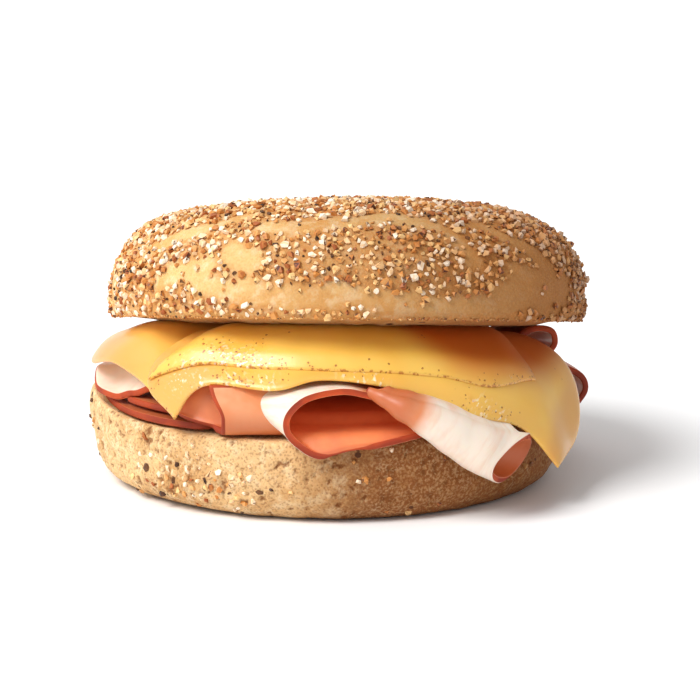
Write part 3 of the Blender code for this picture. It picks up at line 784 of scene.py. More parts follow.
def cheese_material(looks):
    """Melted cheese: smooth and a little translucent, paler where it is thin, with painted shade where the
    lid covers it, browned specks, and small bubbled spots with painted highlights where the grill caught it."""
    material, tree, shader = new_material(
        "melted_cheese", 0.34, Specular_IOR_Level=0.5, Subsurface_Weight=0.35,
        Subsurface_Radius=(3.2 * MM, 1.7 * MM, 0.45 * MM), Subsurface_Scale=1.0, Coat_Weight=0.25,
        Coat_Roughness=0.18)
    slow = object_noise(tree, 60, 2)
    colour = blended(tree, span(tree, slow, 0.35, 0.7), looks.cheese, looks.cheese_deep)
    edge = attribute(tree, "edge")
    rim = span(tree, edge, 1.2 * MM, 0.1 * MM, 0, 0.2)
    pale = math_node(tree, "MAXIMUM", rim, attribute(tree, "thin"))
    colour = blended(tree, pale, colour, looks.cheese_thin)
    # Painted shade: under the lid's edge the cheese turns deep orange-brown and less glossy.
    under = attribute(tree, "under")
    colour = blended(tree, under, colour, looks.cheese_shaded)
    tree.links.new(span(tree, under, 0, 1, 0.34, 0.6), shader.inputs["Roughness"])
    tree.links.new(span(tree, under, 0, 1, 0.25, 0.0), shader.inputs["Coat Weight"])
    toast = attribute(tree, "toast")
    specks = group_node(tree, shared("toasted_specks", speckle_group), Scale=1350, Amount=toast)
    grilled = object_noise(tree, 300, 2)
    blotch = math_node(tree, "MULTIPLY", span(tree, grilled, 0.52, 0.68, 0, 0.8),
                       span(tree, toast, 0.12, 0.6, 0, 0.75))
    colour = blended(tree, blotch, colour, looks.cheese_browned)
    speckled = math_node(tree, "MULTIPLY", specks.outputs["Mask"], 0.85)
    colour = blended(tree, speckled, colour, CHEESE_SPECK)
    dots = math_node(tree, "MULTIPLY", span(tree, edge, 1.0 * MM, 0.2 * MM),
                     span(tree, object_noise(tree, 1100, 2), 0.5, 0.57))
    dots = math_node(tree, "MULTIPLY", dots, attribute(tree, "dotted"))
    colour = blended(tree, dots, colour, CHEESE_EDGE_DOT)
    # Painted highlight: pale glints mixed into the colour over the bubbled spots, which also roughen the
    # surface.
    bubbles = attribute(tree, "bubbles")
    froth = object_noise(tree, 1500, 2, vector=along_slice(tree, 0.4, 0.7))
    painted_highlight = math_node(tree, "MULTIPLY", span(tree, froth, 0.55, 0.64), bubbles)
    colour = blended(tree, painted_highlight, colour, PAINTED_HIGHLIGHT)
    tree.links.new(colour, shader.inputs["Base Color"])
    relief = math_node(tree, "MULTIPLY", froth, span(tree, bubbles, 0, 1, 0.06, 1.0))
    relief = math_node(tree, "ADD", relief, math_node(tree, "MULTIPLY", slow, 1.2))
    relief = math_node(tree, "SUBTRACT", relief, math_node(tree, "MULTIPLY", specks.outputs["Mask"], 0.4))
    bumped(tree, shader, relief, 0.7, 0.5 * MM)
    return material


def turkey_material(looks):
    """Sliced turkey: pale outer face with fine streaks and a browned cut rim, a salmon inner face that is
    painted shade and bounced light, painted shade where the slices lie low or folded, and painted light
    glowing from some faces.
    """
    material, tree, shader = new_material(
        "sliced_turkey", 0.42, Specular_IOR_Level=0.45, Subsurface_Weight=0.2,
        Subsurface_Radius=(3.0 * MM, 1.1 * MM, 0.6 * MM), Subsurface_Scale=1.0, Coat_Weight=0.1,
        Coat_Roughness=0.3, Emission_Strength=0.24)
    streaks = object_noise(tree, 420, 3, vector=along_slice(tree, 0.22))
    mottle = object_noise(tree, 110, 3)
    outside = attribute(tree, "outside")
    # The pale face turns pink, partly as its own pink and partly as painted shade, and then salmon, as
    # painted shade.
    blush = math_node(tree, "MULTIPLY", attribute(tree, "blush"), 2.0)
    pale = blended(tree, span(tree, streaks, 0.4, 0.75, 0, 0.35), looks.turkey_pale, looks.turkey_pink)
    pink = blended(tree, span(tree, mottle, 0.35, 0.7), looks.turkey_pink, looks.turkey_shaded_salmon)
    face = blended(tree, blush, pale, pink)
    face = blended(tree, math_node(tree, "SUBTRACT", blush, 1.0), face, looks.turkey_shaded_salmon)
    # The inner face is salmon as painted shade and light bounced from the folds around it.
    inner = blended(tree, span(tree, mottle, 0.35, 0.7, 0, 0.8), looks.turkey_shaded_salmon, looks.turkey_shaded_deep)
    # Painted shade: the inside of the rolled tube darkens towards dark red.
    inner = blended(tree, attribute(tree, "hollow"), inner, TUBE_SHADE)
    colour = blended(tree, outside, inner, face)
    ragged = math_node(tree, "ADD", attribute(tree, "edge"), math_node(tree, "MULTIPLY", streaks, 0.25 * MM))
    ragged = math_node(tree, "SUBTRACT", ragged, attribute(tree, "rim"))
    bark = blended(tree, span(tree, mottle, 0.4, 0.65), looks.turkey_rind, looks.turkey_rind_dark_and_shade)
    bark_share = span(tree, ragged, 0.2 * MM, 0.05 * MM)
    tree.links.new(span(tree, bark_share, 0, 1, 0.42, 0.7), shader.inputs["Roughness"])
    tree.links.new(span(tree, bark_share, 0, 1, 0.1, 0.0), shader.inputs["Coat Weight"])
    colour = blended(tree, bark_share, colour, bark)
    # Painted shade: where a slice lies low or deep in a fold, its colour goes towards dark red.
    colour = blended(tree, attribute(tree, "deep"), colour, looks.turkey_rind_dark_and_shade)
    tree.links.new(colour, shader.inputs["Base Color"])
    # Painted light: emission makes the inner faces of the folds glow red and the left slice's pale top glow
    # pale, away from its rim.
    within = math_node(tree, "SUBTRACT", 1.0, outside)
    glow = math_node(tree, "MULTIPLY", within, attribute(tree, "glow"))
    painted_light = blended(tree, glow, (0, 0, 0), PAINTED_LIGHT_INNER)
    lit = math_node(tree, "MULTIPLY", outside, attribute(tree, "lit"))
    lit = math_node(tree, "MULTIPLY", lit, math_node(tree, "SUBTRACT", 1.0, bark_share))
    tree.links.new(blended(tree, lit, painted_light, PAINTED_LIGHT_OUTER), shader.inputs["Emission Color"])
    bumped(tree, shader, math_node(tree, "ADD", streaks, mottle), 0.35, 0.25 * MM)
    return material


# Bread

def crust_push(point, seed):
    """How far the crust's slow lumps push a point out, as in the part."""
    return CRUST_RELIEF * noise.noise(point * 55 + Vector((seed, 0, 0)))


def fine_push(point, amount):
    """The crust's small unevenness."""
    return amount * (noise.noise(point * 180) + 0.5 * noise.noise(point * 420))


def turned(profile, segments):
    """A bmesh turned about Z from (radius, height) points that start and end on the axis."""
    bm = bmesh.new()
    verts = [bm.verts.new((r, 0, z)) for r, z in profile]
    edges = [bm.edges.new(pair) for pair in zip(verts, verts[1:])]
    bmesh.ops.spin(bm, geom=verts + edges, cent=(0, 0, 0), axis=(0, 0, 1),
                   angle=math.tau, steps=segments, use_merge=True)
    bmesh.ops.remove_doubles(bm, verts=bm.verts, dist=0.01 * MM)
    bmesh.ops.recalc_face_normals(bm, faces=bm.faces)
    bm.normal_update()
    return bm


def spaced(profile, step):
    """A profile's points at even steps along it."""
    points = [Vector(p) for p in profile]
    out = [points[0]]
    for a, b in zip(points, points[1:]):
        count = max(1, round((b - a).length / step))
        out += [a.lerp(b, (i + 1) / count) for i in range(count)]
    return [tuple(p) for p in out]


# The lid's soft lower edge: how far past its radius and how high, in mm.
LID_EDGE = ((-1.2, 0.12), (-0.75, 0.5), (-0.35, 1.15), (-0.12, 2.2), (0.0, 3.4), (0.1, 4.6), (0.18, 5.8),
            (0.2, 7.0))
DOME_FOOT = 8.0 * MM
DOME_BULGE = 0.52
DOME_RISE = 0.84


def lid_profile():
    """The lid's half section, from the middle of its cut face round to the middle of its top."""
    cut = spaced([(0.0, 0.0), (LID_RADIUS - 1.6 * MM, 0.0)], 3.2 * MM)
    side = [(LID_RADIUS + out * MM, up * MM) for out, up in LID_EDGE]
    dome = []
    for i in range(241):
        turn = math.pi / 2 * i / 240
        dome.append(((LID_RADIUS + 0.2 * MM) * math.cos(turn) ** DOME_BULGE,
                     DOME_FOOT + (LID_HEIGHT - DOME_FOOT) * math.sin(turn) ** DOME_RISE))
    return cut + side + even(dome, 1.0 * MM)


def even(points, step):
    """A dense run of points thinned to an even step, keeping its ends."""
    out = [points[0]]
    for point in points[1:-1]:
        if math.dist(point, out[-1]) >= step:
            out.append(point)
    return out + [points[-1]]


def lid_point(azimuth, height):
    """The place on the lid's crust at an azimuth in degrees and a height in mm."""
    radius = LID_RADIUS
    if height * MM > DOME_FOOT:
        share = min((height * MM - DOME_FOOT) / (LID_HEIGHT - DOME_FOOT), 1.0) ** (1 / DOME_RISE)
        radius *= math.sqrt(1 - share * share) ** DOME_BULGE
    turn = math.radians(azimuth)
    return Vector((radius * math.cos(turn), radius * math.sin(turn), height * MM))


STRIP_LINES = [(half * MM, [lid_point(*p) for p in line]) for half, line in BARE_STRIPS]


def line_distance(point, line):
    """Distance from a point to a line of points."""
    best = 1.0
    for a, b in zip(line, line[1:]):
        run = b - a
        t = min(max((point - a).dot(run) / run.length_squared, 0), 1)
        best = min(best, (point - a - run * t).length)
    return best


def grain_cover(point):
    """How thickly grain lies on the lid, 0 to 1, with the bare strips that its rolling left."""
    azimuth = math.degrees(math.atan2(point.y, point.x))
    wobble = 1.1 * MM * noise.noise(point * 170)
    bare = 0.0
    if point.y < 20 * MM:
        for half, line in STRIP_LINES:
            off = line_distance(point, line) + wobble
            bare = max(bare, 1 - ease((off - half * 0.95) / (half * 0.5)))
    unseen = ease((azimuth + 20) / 20) if azimuth > -90 else ease((-azimuth - 155) / 20)
    if unseen > 0:
        radius = math.hypot(point.x, point.y)
        wind = math.radians(azimuth) * SWIRL_TURNS + radius / SWIRL_PITCH + 1.6 * noise.noise(point * 28)
        bare = max(bare, ease(-math.sin(wind) * 2.2 - 0.5) * unseen)
    return 1 - bare


def make_lid_crust():
    """The upper half: lumpy crust, torn along its cut edge, with a slightly hollow cut face."""
    bm = turned(lid_profile(), LID_SEGMENTS)
    cover, crumb = [], []
    for vert in bm.verts:
        point = vert.co.copy()
        z = point.z
        radius = math.hypot(point.x, point.y)
        cut = 1 - ease((z - 0.4 * MM) / (2.4 * MM))
        if z > 0.05 * MM:
            push = crust_push(point, 11) * ease(z / (6 * MM)) + fine_push(point, 0.22 * MM) * (1 - cut)
            torn = noise.noise(point * 330) + 0.6 * noise.noise(point * 800)
            push += 0.5 * MM * torn * cut * ease(z / (0.5 * MM))
            shoulder = ease((z - 7 * MM) / (9 * MM))
            push -= shoulder * (0.5 + 1.5 * toward(point.x, point.y, 190, 50)) * MM
            vert.co += vert.normal * push
            vert.co.z *= 1 - LID_SKEW * vert.co.x / LID_RADIUS
        else:
            vert.co.z -= 1.2 * MM * (1 - ease((radius - 41 * MM) / (9 * MM)))
            vert.co.z += 0.35 * MM * noise.noise(point * 260)
        if radius > LID_RADIUS - 2.5 * MM and z < 1.3 * MM:
            vert.co.z += 0.35 * MM * noise.noise(point * 300)
        cover.append(grain_cover(vert.co) if z > 1.5 * MM else 0.5)
        crumb.append(cut)
    obj = placed("lid_crust", bm)
    # The browned attribute darkens the crust where grain lies thick, and towards +X as painted shade of the
    # side away from the light.
    places = np.array([v.co.x for v in obj.data.vertices])
    right = np.clip((places - 12 * MM) / (40 * MM), 0, 1)
    painted(obj, "browned", np.clip(np.array(cover) * 0.6 + right * 0.85, 0, 0.97))
    painted(obj, "crumb", crumb)
    obj.data.transform(lid_matrix())
    obj.data.shade_smooth()
    return obj


def lid_matrix():
    """Where the lid sits on the fillings, leaning back."""
    lean = Matrix.Rotation(-LID_LEAN, 4, "X") @ Matrix.Rotation(LID_ROLL, 4, "Y")
    return Matrix.Translation(LID_CENTRE) @ lean.to_euler().to_matrix().to_4x4()


def heel_profile():
    """The heel's half section, from the middle of its foot round to the middle of its cut face."""
    side = []
    for i in range(25):
        turn = math.pi / 2 * i / 24
        side.append((mix(HEEL_FOOT_RADIUS, HEEL_RADIUS, math.sin(turn)), 9 * MM * (1 - math.cos(turn))))
    foot = spaced([(0.0, 0.0), (HEEL_FOOT_RADIUS, 0.0)], 4 * MM)
    lip = HEEL_RADIUS - 2.0 * MM
    wall = spaced([(HEEL_RADIUS, 9 * MM), (HEEL_RADIUS, 14 * MM), (HEEL_RADIUS - 0.3 * MM, 17.6 * MM),
                   (HEEL_RADIUS - 0.7 * MM, 18.6 * MM), (HEEL_RADIUS - 1.3 * MM, HEEL_HEIGHT),
                   (lip, HEEL_HEIGHT)], 0.5 * MM)
    face = spaced([(lip, HEEL_HEIGHT), (0.0, HEEL_HEIGHT)], 3 * MM)
    return foot + side[1:] + wall[1:] + face[1:]


# Lumps of dough and grain baked into the heel's side: azimuth in degrees, height, radius and rise in mm.
HEEL_LUMPS = ((-117, 10.5, 2.6, 0.9), (-124, 9.6, 1.7, 0.6), (-113, 8.8, 1.5, 0.7), (-122, 6.2, 1.6, 0.5),
              (-131, 12.0, 1.8, 0.5), (-140, 8.0, 2.2, 0.4), (-106, 11.5, 1.6, 0.4), (-150, 12.0, 1.8, 0.5))


def make_heel_crumb():
    """The lower half: a porous side with baked-in lumps, darkened in its pits and on its right as painted
    shade and also towards the bottom, and a cut face that dips to the back.
    """
    bm = turned(heel_profile(), HEEL_SEGMENTS)
    crumb, browned = [], []
    for vert in bm.verts:
        point = vert.co.copy()
        level = point.z / HEEL_HEIGHT
        out = Vector((point.x, point.y, 0))
        reach = out.length
        edge = ease((reach - HEEL_RADIUS + 1.9 * MM) / (0.5 * MM))
        foot = ease((HEEL_RADIUS - reach) / (HEEL_RADIUS - HEEL_FOOT_RADIUS)) * (reach > 40 * MM)
        azimuth = math.degrees(math.atan2(point.y, point.x))
        way = out.normalized() if reach > 0 else Vector()
        on_side = reach > 46.5 * MM and 0.001 < level < 0.999
        pit = 0.0
        if on_side:
            push = crust_push(point, 3) * 0.6 + fine_push(point, 0.42 * MM)
            holes = noise.noise(point * 760 + Vector((5, 0, 0))) + 0.6 * noise.noise(point * 240)
            pit = ease((holes - 0.34) / 0.3)
            push -= pit * 0.5 * MM
            for at, height, size, rise in HEEL_LUMPS:
                off = math.hypot(math.radians(azimuth - at) * HEEL_RADIUS / MM, point.z / MM - height)
                push += rise * MM * (1 - ease(off / size))
            vert.co += way * push
        if reach > 0:
            flare = HEEL_FLARE * toward(point.x, point.y, 180, 38) * ease(level * 2 - 0.8) * edge
            inward = FOOT_ROUNDING * toward(point.x, point.y, 222, 42) * foot * (level < 0.5)
            vert.co += way * (flare - inward)
        if level > 0.9:
            vert.co.z += 0.25 * MM * noise.noise(point * 300)
        vert.co.z -= level * (HEEL_HEIGHT - heel_top(vert.co.y))
        vert.co.z += HEEL_LIP * toward(point.x, point.y, 180, 26) * ease(level * 3 - 2) * edge
        crumb.append(1.0)
        # The browned attribute darkens the side's pits as painted shade, the right as painted shade of the
        # side away from the light, and the part near the bottom.
        right = ease((point.x + 10 * MM) / (24 * MM))
        low = 1 - ease(point.z / (3.0 * MM))
        browned.append(min(1, 0.75 * pit + 0.9 * right + 0.35 * low))
    obj = placed("heel_crumb", bm)
    painted(obj, "browned", browned)
    painted(obj, "crumb", crumb)
    obj.data.shade_smooth()
    return obj


def from_lowest(ring):
    """A face's corners started from the lowest. Sorted like that, faces come in the same order in each run,
    which spin and convex_hull don't give."""
    start = ring.index(min(ring))
    return ring[start:] + ring[:start]


def cracked_shapes(count, corners, rng):
    """Shapes of cracked grain, each the hull of a few scattered corners, as (corners, triangles)."""
    shapes = []
    for _ in range(count):
        bm = bmesh.new()
        bmesh.ops.create_icosphere(bm, subdivisions=1, radius=0.5)
        keep = rng.sample(list(bm.verts), corners)
        for vert in keep:
            vert.co *= rng.uniform(0.75, 1.1)
        bmesh.ops.delete(bm, geom=[v for v in bm.verts if v not in set(keep)], context="VERTS")
        hull = bmesh.ops.convex_hull(bm, input=bm.verts)
        bmesh.ops.delete(bm, geom=hull["geom_interior"], context="VERTS")
        bmesh.ops.triangulate(bm, faces=bm.faces)
        bmesh.ops.recalc_face_normals(bm, faces=bm.faces)
        bm.verts.index_update()
        points = np.array([tuple(v.co) for v in bm.verts])
        faces = np.array(sorted(from_lowest([v.index for v in f.verts]) for f in bm.faces))
        shapes.append((points, faces))
        bm.free()
    return shapes


def scattered(name, seats, shapes, rng, burnt_share):
    """Many small pieces as one joined mesh, one on each (matrix, size) seat."""
    corners, faces, tones, burnts = [], [], [], []
    count = 0
    for matrix, size in seats:
        points, triangles = rng.choice(shapes)
        place = np.array(matrix @ Matrix.Diagonal((*size, 1)))
        corners.append(points @ place[:3, :3].T + place[:3, 3])
        faces.append(triangles + count)
        count += len(points)
        tone = rng.random()
        tones += [min(1, max(0, tone + rng.uniform(-0.25, 0.25))) for _ in triangles]
        burnts += [1.0 if rng.random() < burnt_share else 0.0 for _ in triangles]
    mesh = bpy.data.meshes.new(name)
    mesh.from_pydata(np.concatenate(corners).tolist(), [], np.concatenate(faces).tolist())
    for key, values in (("tone", tones), ("burnt", burnts)):
        store = mesh.attributes.new(key, "FLOAT", "FACE")
        store.data.foreach_set("value", np.array(values, dtype=np.float32))
    return linked(name, mesh)


def surface_points(mesh, count, rng, weight):
    """Points spread over a mesh's triangles by area and each corner's weight, each with its normal."""
    rings = sorted(from_lowest(list(polygon.vertices)) for polygon in mesh.polygons)
    tris = np.array([(ring[0], ring[i], ring[i + 1]) for ring in rings for i in range(1, len(ring) - 1)])
    points = np.array([tuple(v.co) for v in mesh.vertices])
    a, b, c = points[tris[:, 0]], points[tris[:, 1]], points[tris[:, 2]]
    normals = np.cross(b - a, c - a)
    area = np.linalg.norm(normals, axis=1)
    share = area * np.array(weight)[tris].mean(axis=1)
    share = share / share.sum()
    draw = np.random.default_rng(rng.randrange(10 ** 6))
    picks = draw.choice(len(tris), size=count, p=share)
    r1, r2 = np.sqrt(draw.random(count)), draw.random(count)
    where = a[picks] * (1 - r1)[:, None] + b[picks] * (r1 * (1 - r2))[:, None] + c[picks] * (r1 * r2)[:, None]
    return where, normals[picks] / area[picks][:, None]


def thinned(points, normals, spacing, limit):
    """The points that keep their distance from those before them."""
    cells = {}
    kept = []
    for point, normal in zip(points, normals):
        key = tuple(np.floor(point / spacing).astype(int))
        around = [cells.get((key[0] + i, key[1] + j, key[2] + k), ()) for i in (-1, 0, 1)
                  for j in (-1, 0, 1) for k in (-1, 0, 1)]
        if all(np.dot(point - other, point - other) > spacing ** 2 for cell in around for other in cell):
            cells.setdefault(key, []).append(point)
            kept.append((Vector(point), Vector(normal)))
            if len(kept) == limit:
                break
    return kept


def grain_seats(spots, low, high, sink, rng):
    """Seats for grains on (point, normal) spots: each is turned at random, tipped and partly sunk."""
    seats = []
    for point, normal in spots:
        size = rng.uniform(low, high) * MM
        shape = (size * rng.uniform(0.95, 1.45), size * rng.uniform(0.75, 1.1), size * rng.uniform(0.6, 0.95))
        turn = Matrix.Rotation(rng.uniform(0, math.tau), 4, "Z")
        tip = Matrix.Rotation(rng.uniform(-0.7, 0.7), 4, "X")
        seat = Matrix.Translation(point + normal * (shape[2] * (0.5 - sink)))
        seats.append((seat @ normal.to_track_quat("Z", "Y").to_matrix().to_4x4() @ turn @ tip, shape))
    return seats


# Settings that a user would change

class ToastieBread(bpy.types.PropertyGroup):
    crust: FloatVectorProperty(
        name="Crust", description="Pale toasted crust between the grains", subtype="COLOR",
        size=3, min=0, max=1, default=(0.85, 0.57, 0.24))
    crust_brown: FloatVectorProperty(
        name="Browned crust", description="Crust where the toasting went further", subtype="COLOR",
        size=3, min=0, max=1, default=(0.72, 0.38, 0.12))
    # Besides the crust under thick grain, this is the colour of the painted shade in the pores and on the
    # side away from the light.
    crust_dark: FloatVectorProperty(
        name="Crust under grain", description="Crust between thickly lying grains", subtype="COLOR",
        size=3, min=0, max=1, default=(0.56, 0.23, 0.06))
    crumb: FloatVectorProperty(
        name="Heel", description="Pale crumb of the lower half's side", subtype="COLOR",
        size=3, min=0, max=1, default=(0.82, 0.54, 0.26))
    crumb_brown: FloatVectorProperty(
        name="Browned heel", description="Toasted patches of the lower half", subtype="COLOR", size=3, min=0,
        max=1, default=(0.60, 0.34, 0.135))
    # This is the colour of the painted shade in the pores and pits and on the heel's right.
    crumb_dark: FloatVectorProperty(
        name="Heel pores", description="Colour inside the lower half's pores", subtype="COLOR", size=3, min=0,
        max=1, default=(0.20, 0.060, 0.013))
    crumb_scale: FloatProperty(
        name="Pore fineness", description="Scale of the crumb's pores; higher is finer", default=2100,
        min=200, max=4000)
    grain_spacing: FloatProperty(
        name="Grain spacing", description="Least distance between two grains on the lid", subtype="DISTANCE",
        unit="LENGTH", default=1.2 * MM, min=0.8 * MM, max=4 * MM)
    grain_count: IntProperty(
        name="Grains", description="Most grains on the lid", default=4600, min=100, max=6000)


class ToastieFilling(bpy.types.PropertyGroup):
    cheese: FloatVectorProperty(
        name="Cheese", description="Melted cheese in the light", subtype="COLOR",
        size=3, min=0, max=1, default=(0.92, 0.54, 0.10))
    cheese_deep: FloatVectorProperty(
        name="Deep cheese", description="Slow variation of the cheese towards orange", subtype="COLOR",
        size=3, min=0, max=1, default=(0.89, 0.47, 0.065))
    cheese_thin: FloatVectorProperty(
        name="Thin cheese", description="Cheese where it is thin and lets light through", subtype="COLOR",
        size=3, min=0, max=1, default=(0.72, 0.35, 0.085))
    # Painted shade: the colour the cheese takes where the lid shades it.
    cheese_shaded: FloatVectorProperty(
        name="Cheese under the lid", description="Deep colour of the cheese where the lid covers it",
        subtype="COLOR", size=3, min=0, max=1, default=(0.55, 0.10, 0.0))
    cheese_browned: FloatVectorProperty(
        name="Browned cheese", description="Cheese that the grill caught", subtype="COLOR", size=3, min=0,
        max=1, default=(0.70, 0.27, 0.03))
    turkey_pale: FloatVectorProperty(
        name="Turkey, pale", description="Outer face of a turkey slice", subtype="COLOR",
        size=3, min=0, max=1, default=(0.93, 0.82, 0.70))
    turkey_pink: FloatVectorProperty(
        name="Turkey, pink", description="Streaks and blushed places", subtype="COLOR",
        size=3, min=0, max=1, default=(0.78, 0.38, 0.20))
    # Painted shade and bounced light: the colours of a fold's inner face and of shaded outer faces.
    turkey_shaded_salmon: FloatVectorProperty(
        name="Turkey, salmon", description="Inner face of a fold", subtype="COLOR",
        size=3, min=0, max=1, default=(0.76, 0.25, 0.09))
    turkey_shaded_deep: FloatVectorProperty(
        name="Turkey, deep", description="Darkest patches of the inner face", subtype="COLOR", size=3, min=0,
        max=1, default=(0.60, 0.17, 0.07))
    turkey_rind: FloatVectorProperty(
        name="Rind", description="Browned rim of a slice", subtype="COLOR",
        size=3, min=0, max=1, default=(0.46, 0.058, 0.005))
    # Besides the rim's darker stretches, this is the colour that painted shade takes the turkey towards.
    turkey_rind_dark_and_shade: FloatVectorProperty(
        name="Dark rind", description="Darker stretches of the rim", subtype="COLOR",
        size=3, min=0, max=1, default=(0.27, 0.028, 0.005))


class ToastieStage(bpy.types.PropertyGroup):
    azimuth: FloatProperty(
        name="Azimuth", description="Camera's turn round the roll; 0 looks along +Y", subtype="ANGLE",
        unit="ROTATION", default=0.0)
    elevation: FloatProperty(
        name="Elevation", description="Camera's height over the horizon", subtype="ANGLE", unit="ROTATION",
        default=math.radians(12))
    distance: FloatProperty(
        name="Distance", description="Camera's distance from the roll", subtype="DISTANCE", unit="LENGTH",
        default=1.0, min=0.2, max=5.0)
    key: FloatProperty(name="Key light", description="Strength of the main light, in W/m2", default=2.65,
                       min=0, max=20)
    key_softness: FloatProperty(
        name="Key softness", description="How wide the main light is, which softens its shadows",
        subtype="ANGLE", unit="ROTATION", default=math.radians(30), min=0, max=math.pi)
    surround: FloatProperty(
        name="Surround", description="Strength of the even light from all round", default=0.665, min=0, max=3)
    floor: FloatVectorProperty(
        name="Floor", description="Colour of the floor", subtype="COLOR",
        size=3, min=0, max=1, default=(0.97, 0.97, 0.97))


# Operators

class TOASTIE_OT_lid(bpy.types.Operator):
    """Make the roll's upper half with its crust"""
    bl_idname = "toastie.lid"
    bl_label = "Lid crust"

    def execute(self, context):
        looks = context.scene.toastie_bread
        material = bread_material("lid_crust", looks, looks.crust, looks.crust_brown, looks.crust_dark, 0.85)
        finished(make_lid_crust(), material, "lid_crust", "bun_lid")
        return {"FINISHED"}


# Name, share on the lid, colours of face, hull and burnt corners, and how much is burnt.
GRAIN_KINDS = (
    ("grain_pale", 0.38, (0.98, 0.89, 0.72), (0.84, 0.50, 0.22), (0.12, 0.04, 0.01), 0.08),
    ("grain_golden", 0.36, (0.92, 0.62, 0.27), (0.62, 0.24, 0.05), (0.12, 0.04, 0.01), 0.12),
    ("grain_brown", 0.18, (0.60, 0.23, 0.05), (0.36, 0.09, 0.02), (0.08, 0.02, 0.01), 0.25),
    ("grain_dark", 0.08, (0.15, 0.06, 0.02), (0.06, 0.02, 0.008), (0.02, 0.01, 0.005), 0.5),
)


GRAIN_NAMES = [kind[0] for kind in GRAIN_KINDS]
LID_GRAIN_SHARES = [kind[1] for kind in GRAIN_KINDS]
HEEL_GRAIN_SHARES = (0.5, 0.25, 0.13, 0.12)
HEEL_GRAINS = 130
HEEL_GRAIN_SPACING = 1.5 * MM
RIM_CRUMBS = 760
RIM_KINDS = ("golden", "brown", "dark")
RIM_SHARES = (0.5, 0.3, 0.2)


def sorted_out(spots, names, shares, rng):
    """Spots dealt out at random among kinds by their shares."""
    piles = {name: [] for name in names}
    for spot in spots:
        piles[rng.choices(names, shares)[0]].append(spot)
    return piles


class TOASTIE_OT_lid_grain(bpy.types.Operator):
    """Scatter cracked grain on the lid, in four kinds by how far each is toasted"""
    bl_idname = "toastie.lid_grain"
    bl_label = "Lid grain"

    def execute(self, context):
        looks = context.scene.toastie_bread
        rng = random.Random(SEED)
        lid = bpy.data.objects["lid_crust"]
        back = lid_matrix().inverted()
        keep = [0.0 if (back @ v.co).z < 1.0 * MM else 0.006 + grain_cover(back @ v.co) ** 3
                for v in lid.data.vertices]
        points, normals = surface_points(lid.data, looks.grain_count * 6, rng, keep)
        spots = thinned(points, normals, looks.grain_spacing, looks.grain_count)
        shapes = cracked_shapes(16, 9, rng)
        piles = sorted_out(spots, GRAIN_NAMES, LID_GRAIN_SHARES, rng)
        for name, _, face, hull, char, burnt in GRAIN_KINDS:
            small = 0.6 if name == "grain_dark" else 1.0
            seats = grain_seats(piles[name], 1.1 * small, 2.2 * small, 0.22, rng)
            obj = scattered("lid_" + name, seats, shapes, rng, burnt)
            finished(obj, grain_material(name, face, hull, char), "lid_crust", "bun_lid")
        return {"FINISHED"}


class TOASTIE_OT_heel(bpy.types.Operator):
    """Make the roll's lower half with its porous crumb"""
    bl_idname = "toastie.heel"
    bl_label = "Heel"

    def execute(self, context):
        looks = context.scene.toastie_bread
        material = bread_material("heel_crumb", looks, looks.crumb, looks.crumb_brown, looks.crumb_dark, 0.5)
        finished(make_heel_crumb(), material, "heel_crumb", "bun_heel")
        return {"FINISHED"}


class TOASTIE_OT_heel_grain(bpy.types.Operator):
    """Set grain into the heel's side, mostly in the cluster at its front left"""
    bl_idname = "toastie.heel_grain"
    bl_label = "Heel grain"

    def execute(self, context):
        rng = random.Random(SEED + 3)
        heel = bpy.data.objects["heel_crumb"]
        keep = []
        for vert in heel.data.vertices:
            azimuth = math.degrees(math.atan2(vert.co.y, vert.co.x))
            reach = math.hypot(vert.co.x, vert.co.y)
            on_side = reach > 50 * MM and 1.5 * MM < vert.co.z < 17.5 * MM
            cluster = math.exp(-((azimuth + 121) / 11) ** 2 - ((vert.co.z - 8.5 * MM) / (4 * MM)) ** 2)
            left = 0.06 if azimuth < -120 or azimuth > 120 else 0.015
            keep.append((left + 2.0 * cluster) if on_side else 0.0)
        points, normals = surface_points(heel.data, 1200, rng, keep)
        spots = thinned(points, normals, HEEL_GRAIN_SPACING, HEEL_GRAINS)
        shapes = cracked_shapes(12, 9, rng)
        for name, pile in sorted_out(spots, GRAIN_NAMES, HEEL_GRAIN_SHARES, rng).items():
            seats = grain_seats(pile, 1.0, 2.3, 0.5, rng)
            obj = scattered("heel_" + name, seats, shapes, rng, 0.08)
            finished(obj, bpy.data.materials[name], "heel_crumb", "bun_heel")
        return {"FINISHED"}


class TOASTIE_OT_rim_crumbs(bpy.types.Operator):
    """Scatter the toasted crumbs that the knife left along the lid's cut edge"""
    bl_idname = "toastie.rim_crumbs"
    bl_label = "Crumbs on the cut edge"

    def execute(self, context):
        rng = random.Random(SEED + 5)
        shapes = cracked_shapes(10, 8, rng)
        piles = {kind: [] for kind in RIM_KINDS}
        for _ in range(RIM_CRUMBS):
            turn = rng.uniform(0, math.tau)
            reach = LID_RADIUS - rng.uniform(0.35, 1.7) * MM
            height = rng.uniform(-0.1, 0.35) * MM
            spot = lid_matrix() @ Vector((reach * math.cos(turn), reach * math.sin(turn), height))
            out = Vector((math.cos(turn), math.sin(turn), -0.6)).normalized()
            piles[rng.choices(RIM_KINDS, RIM_SHARES)[0]].append((spot, out))
        for kind, pile in piles.items():
            seats = grain_seats(pile, 0.3, 0.8, 0.5, rng)
            obj = scattered("lid_crumbs_" + kind, seats, shapes, rng, 0.2)
            finished(obj, bpy.data.materials["grain_" + kind], "lid_crust", "bun_lid")
        return {"FINISHED"}
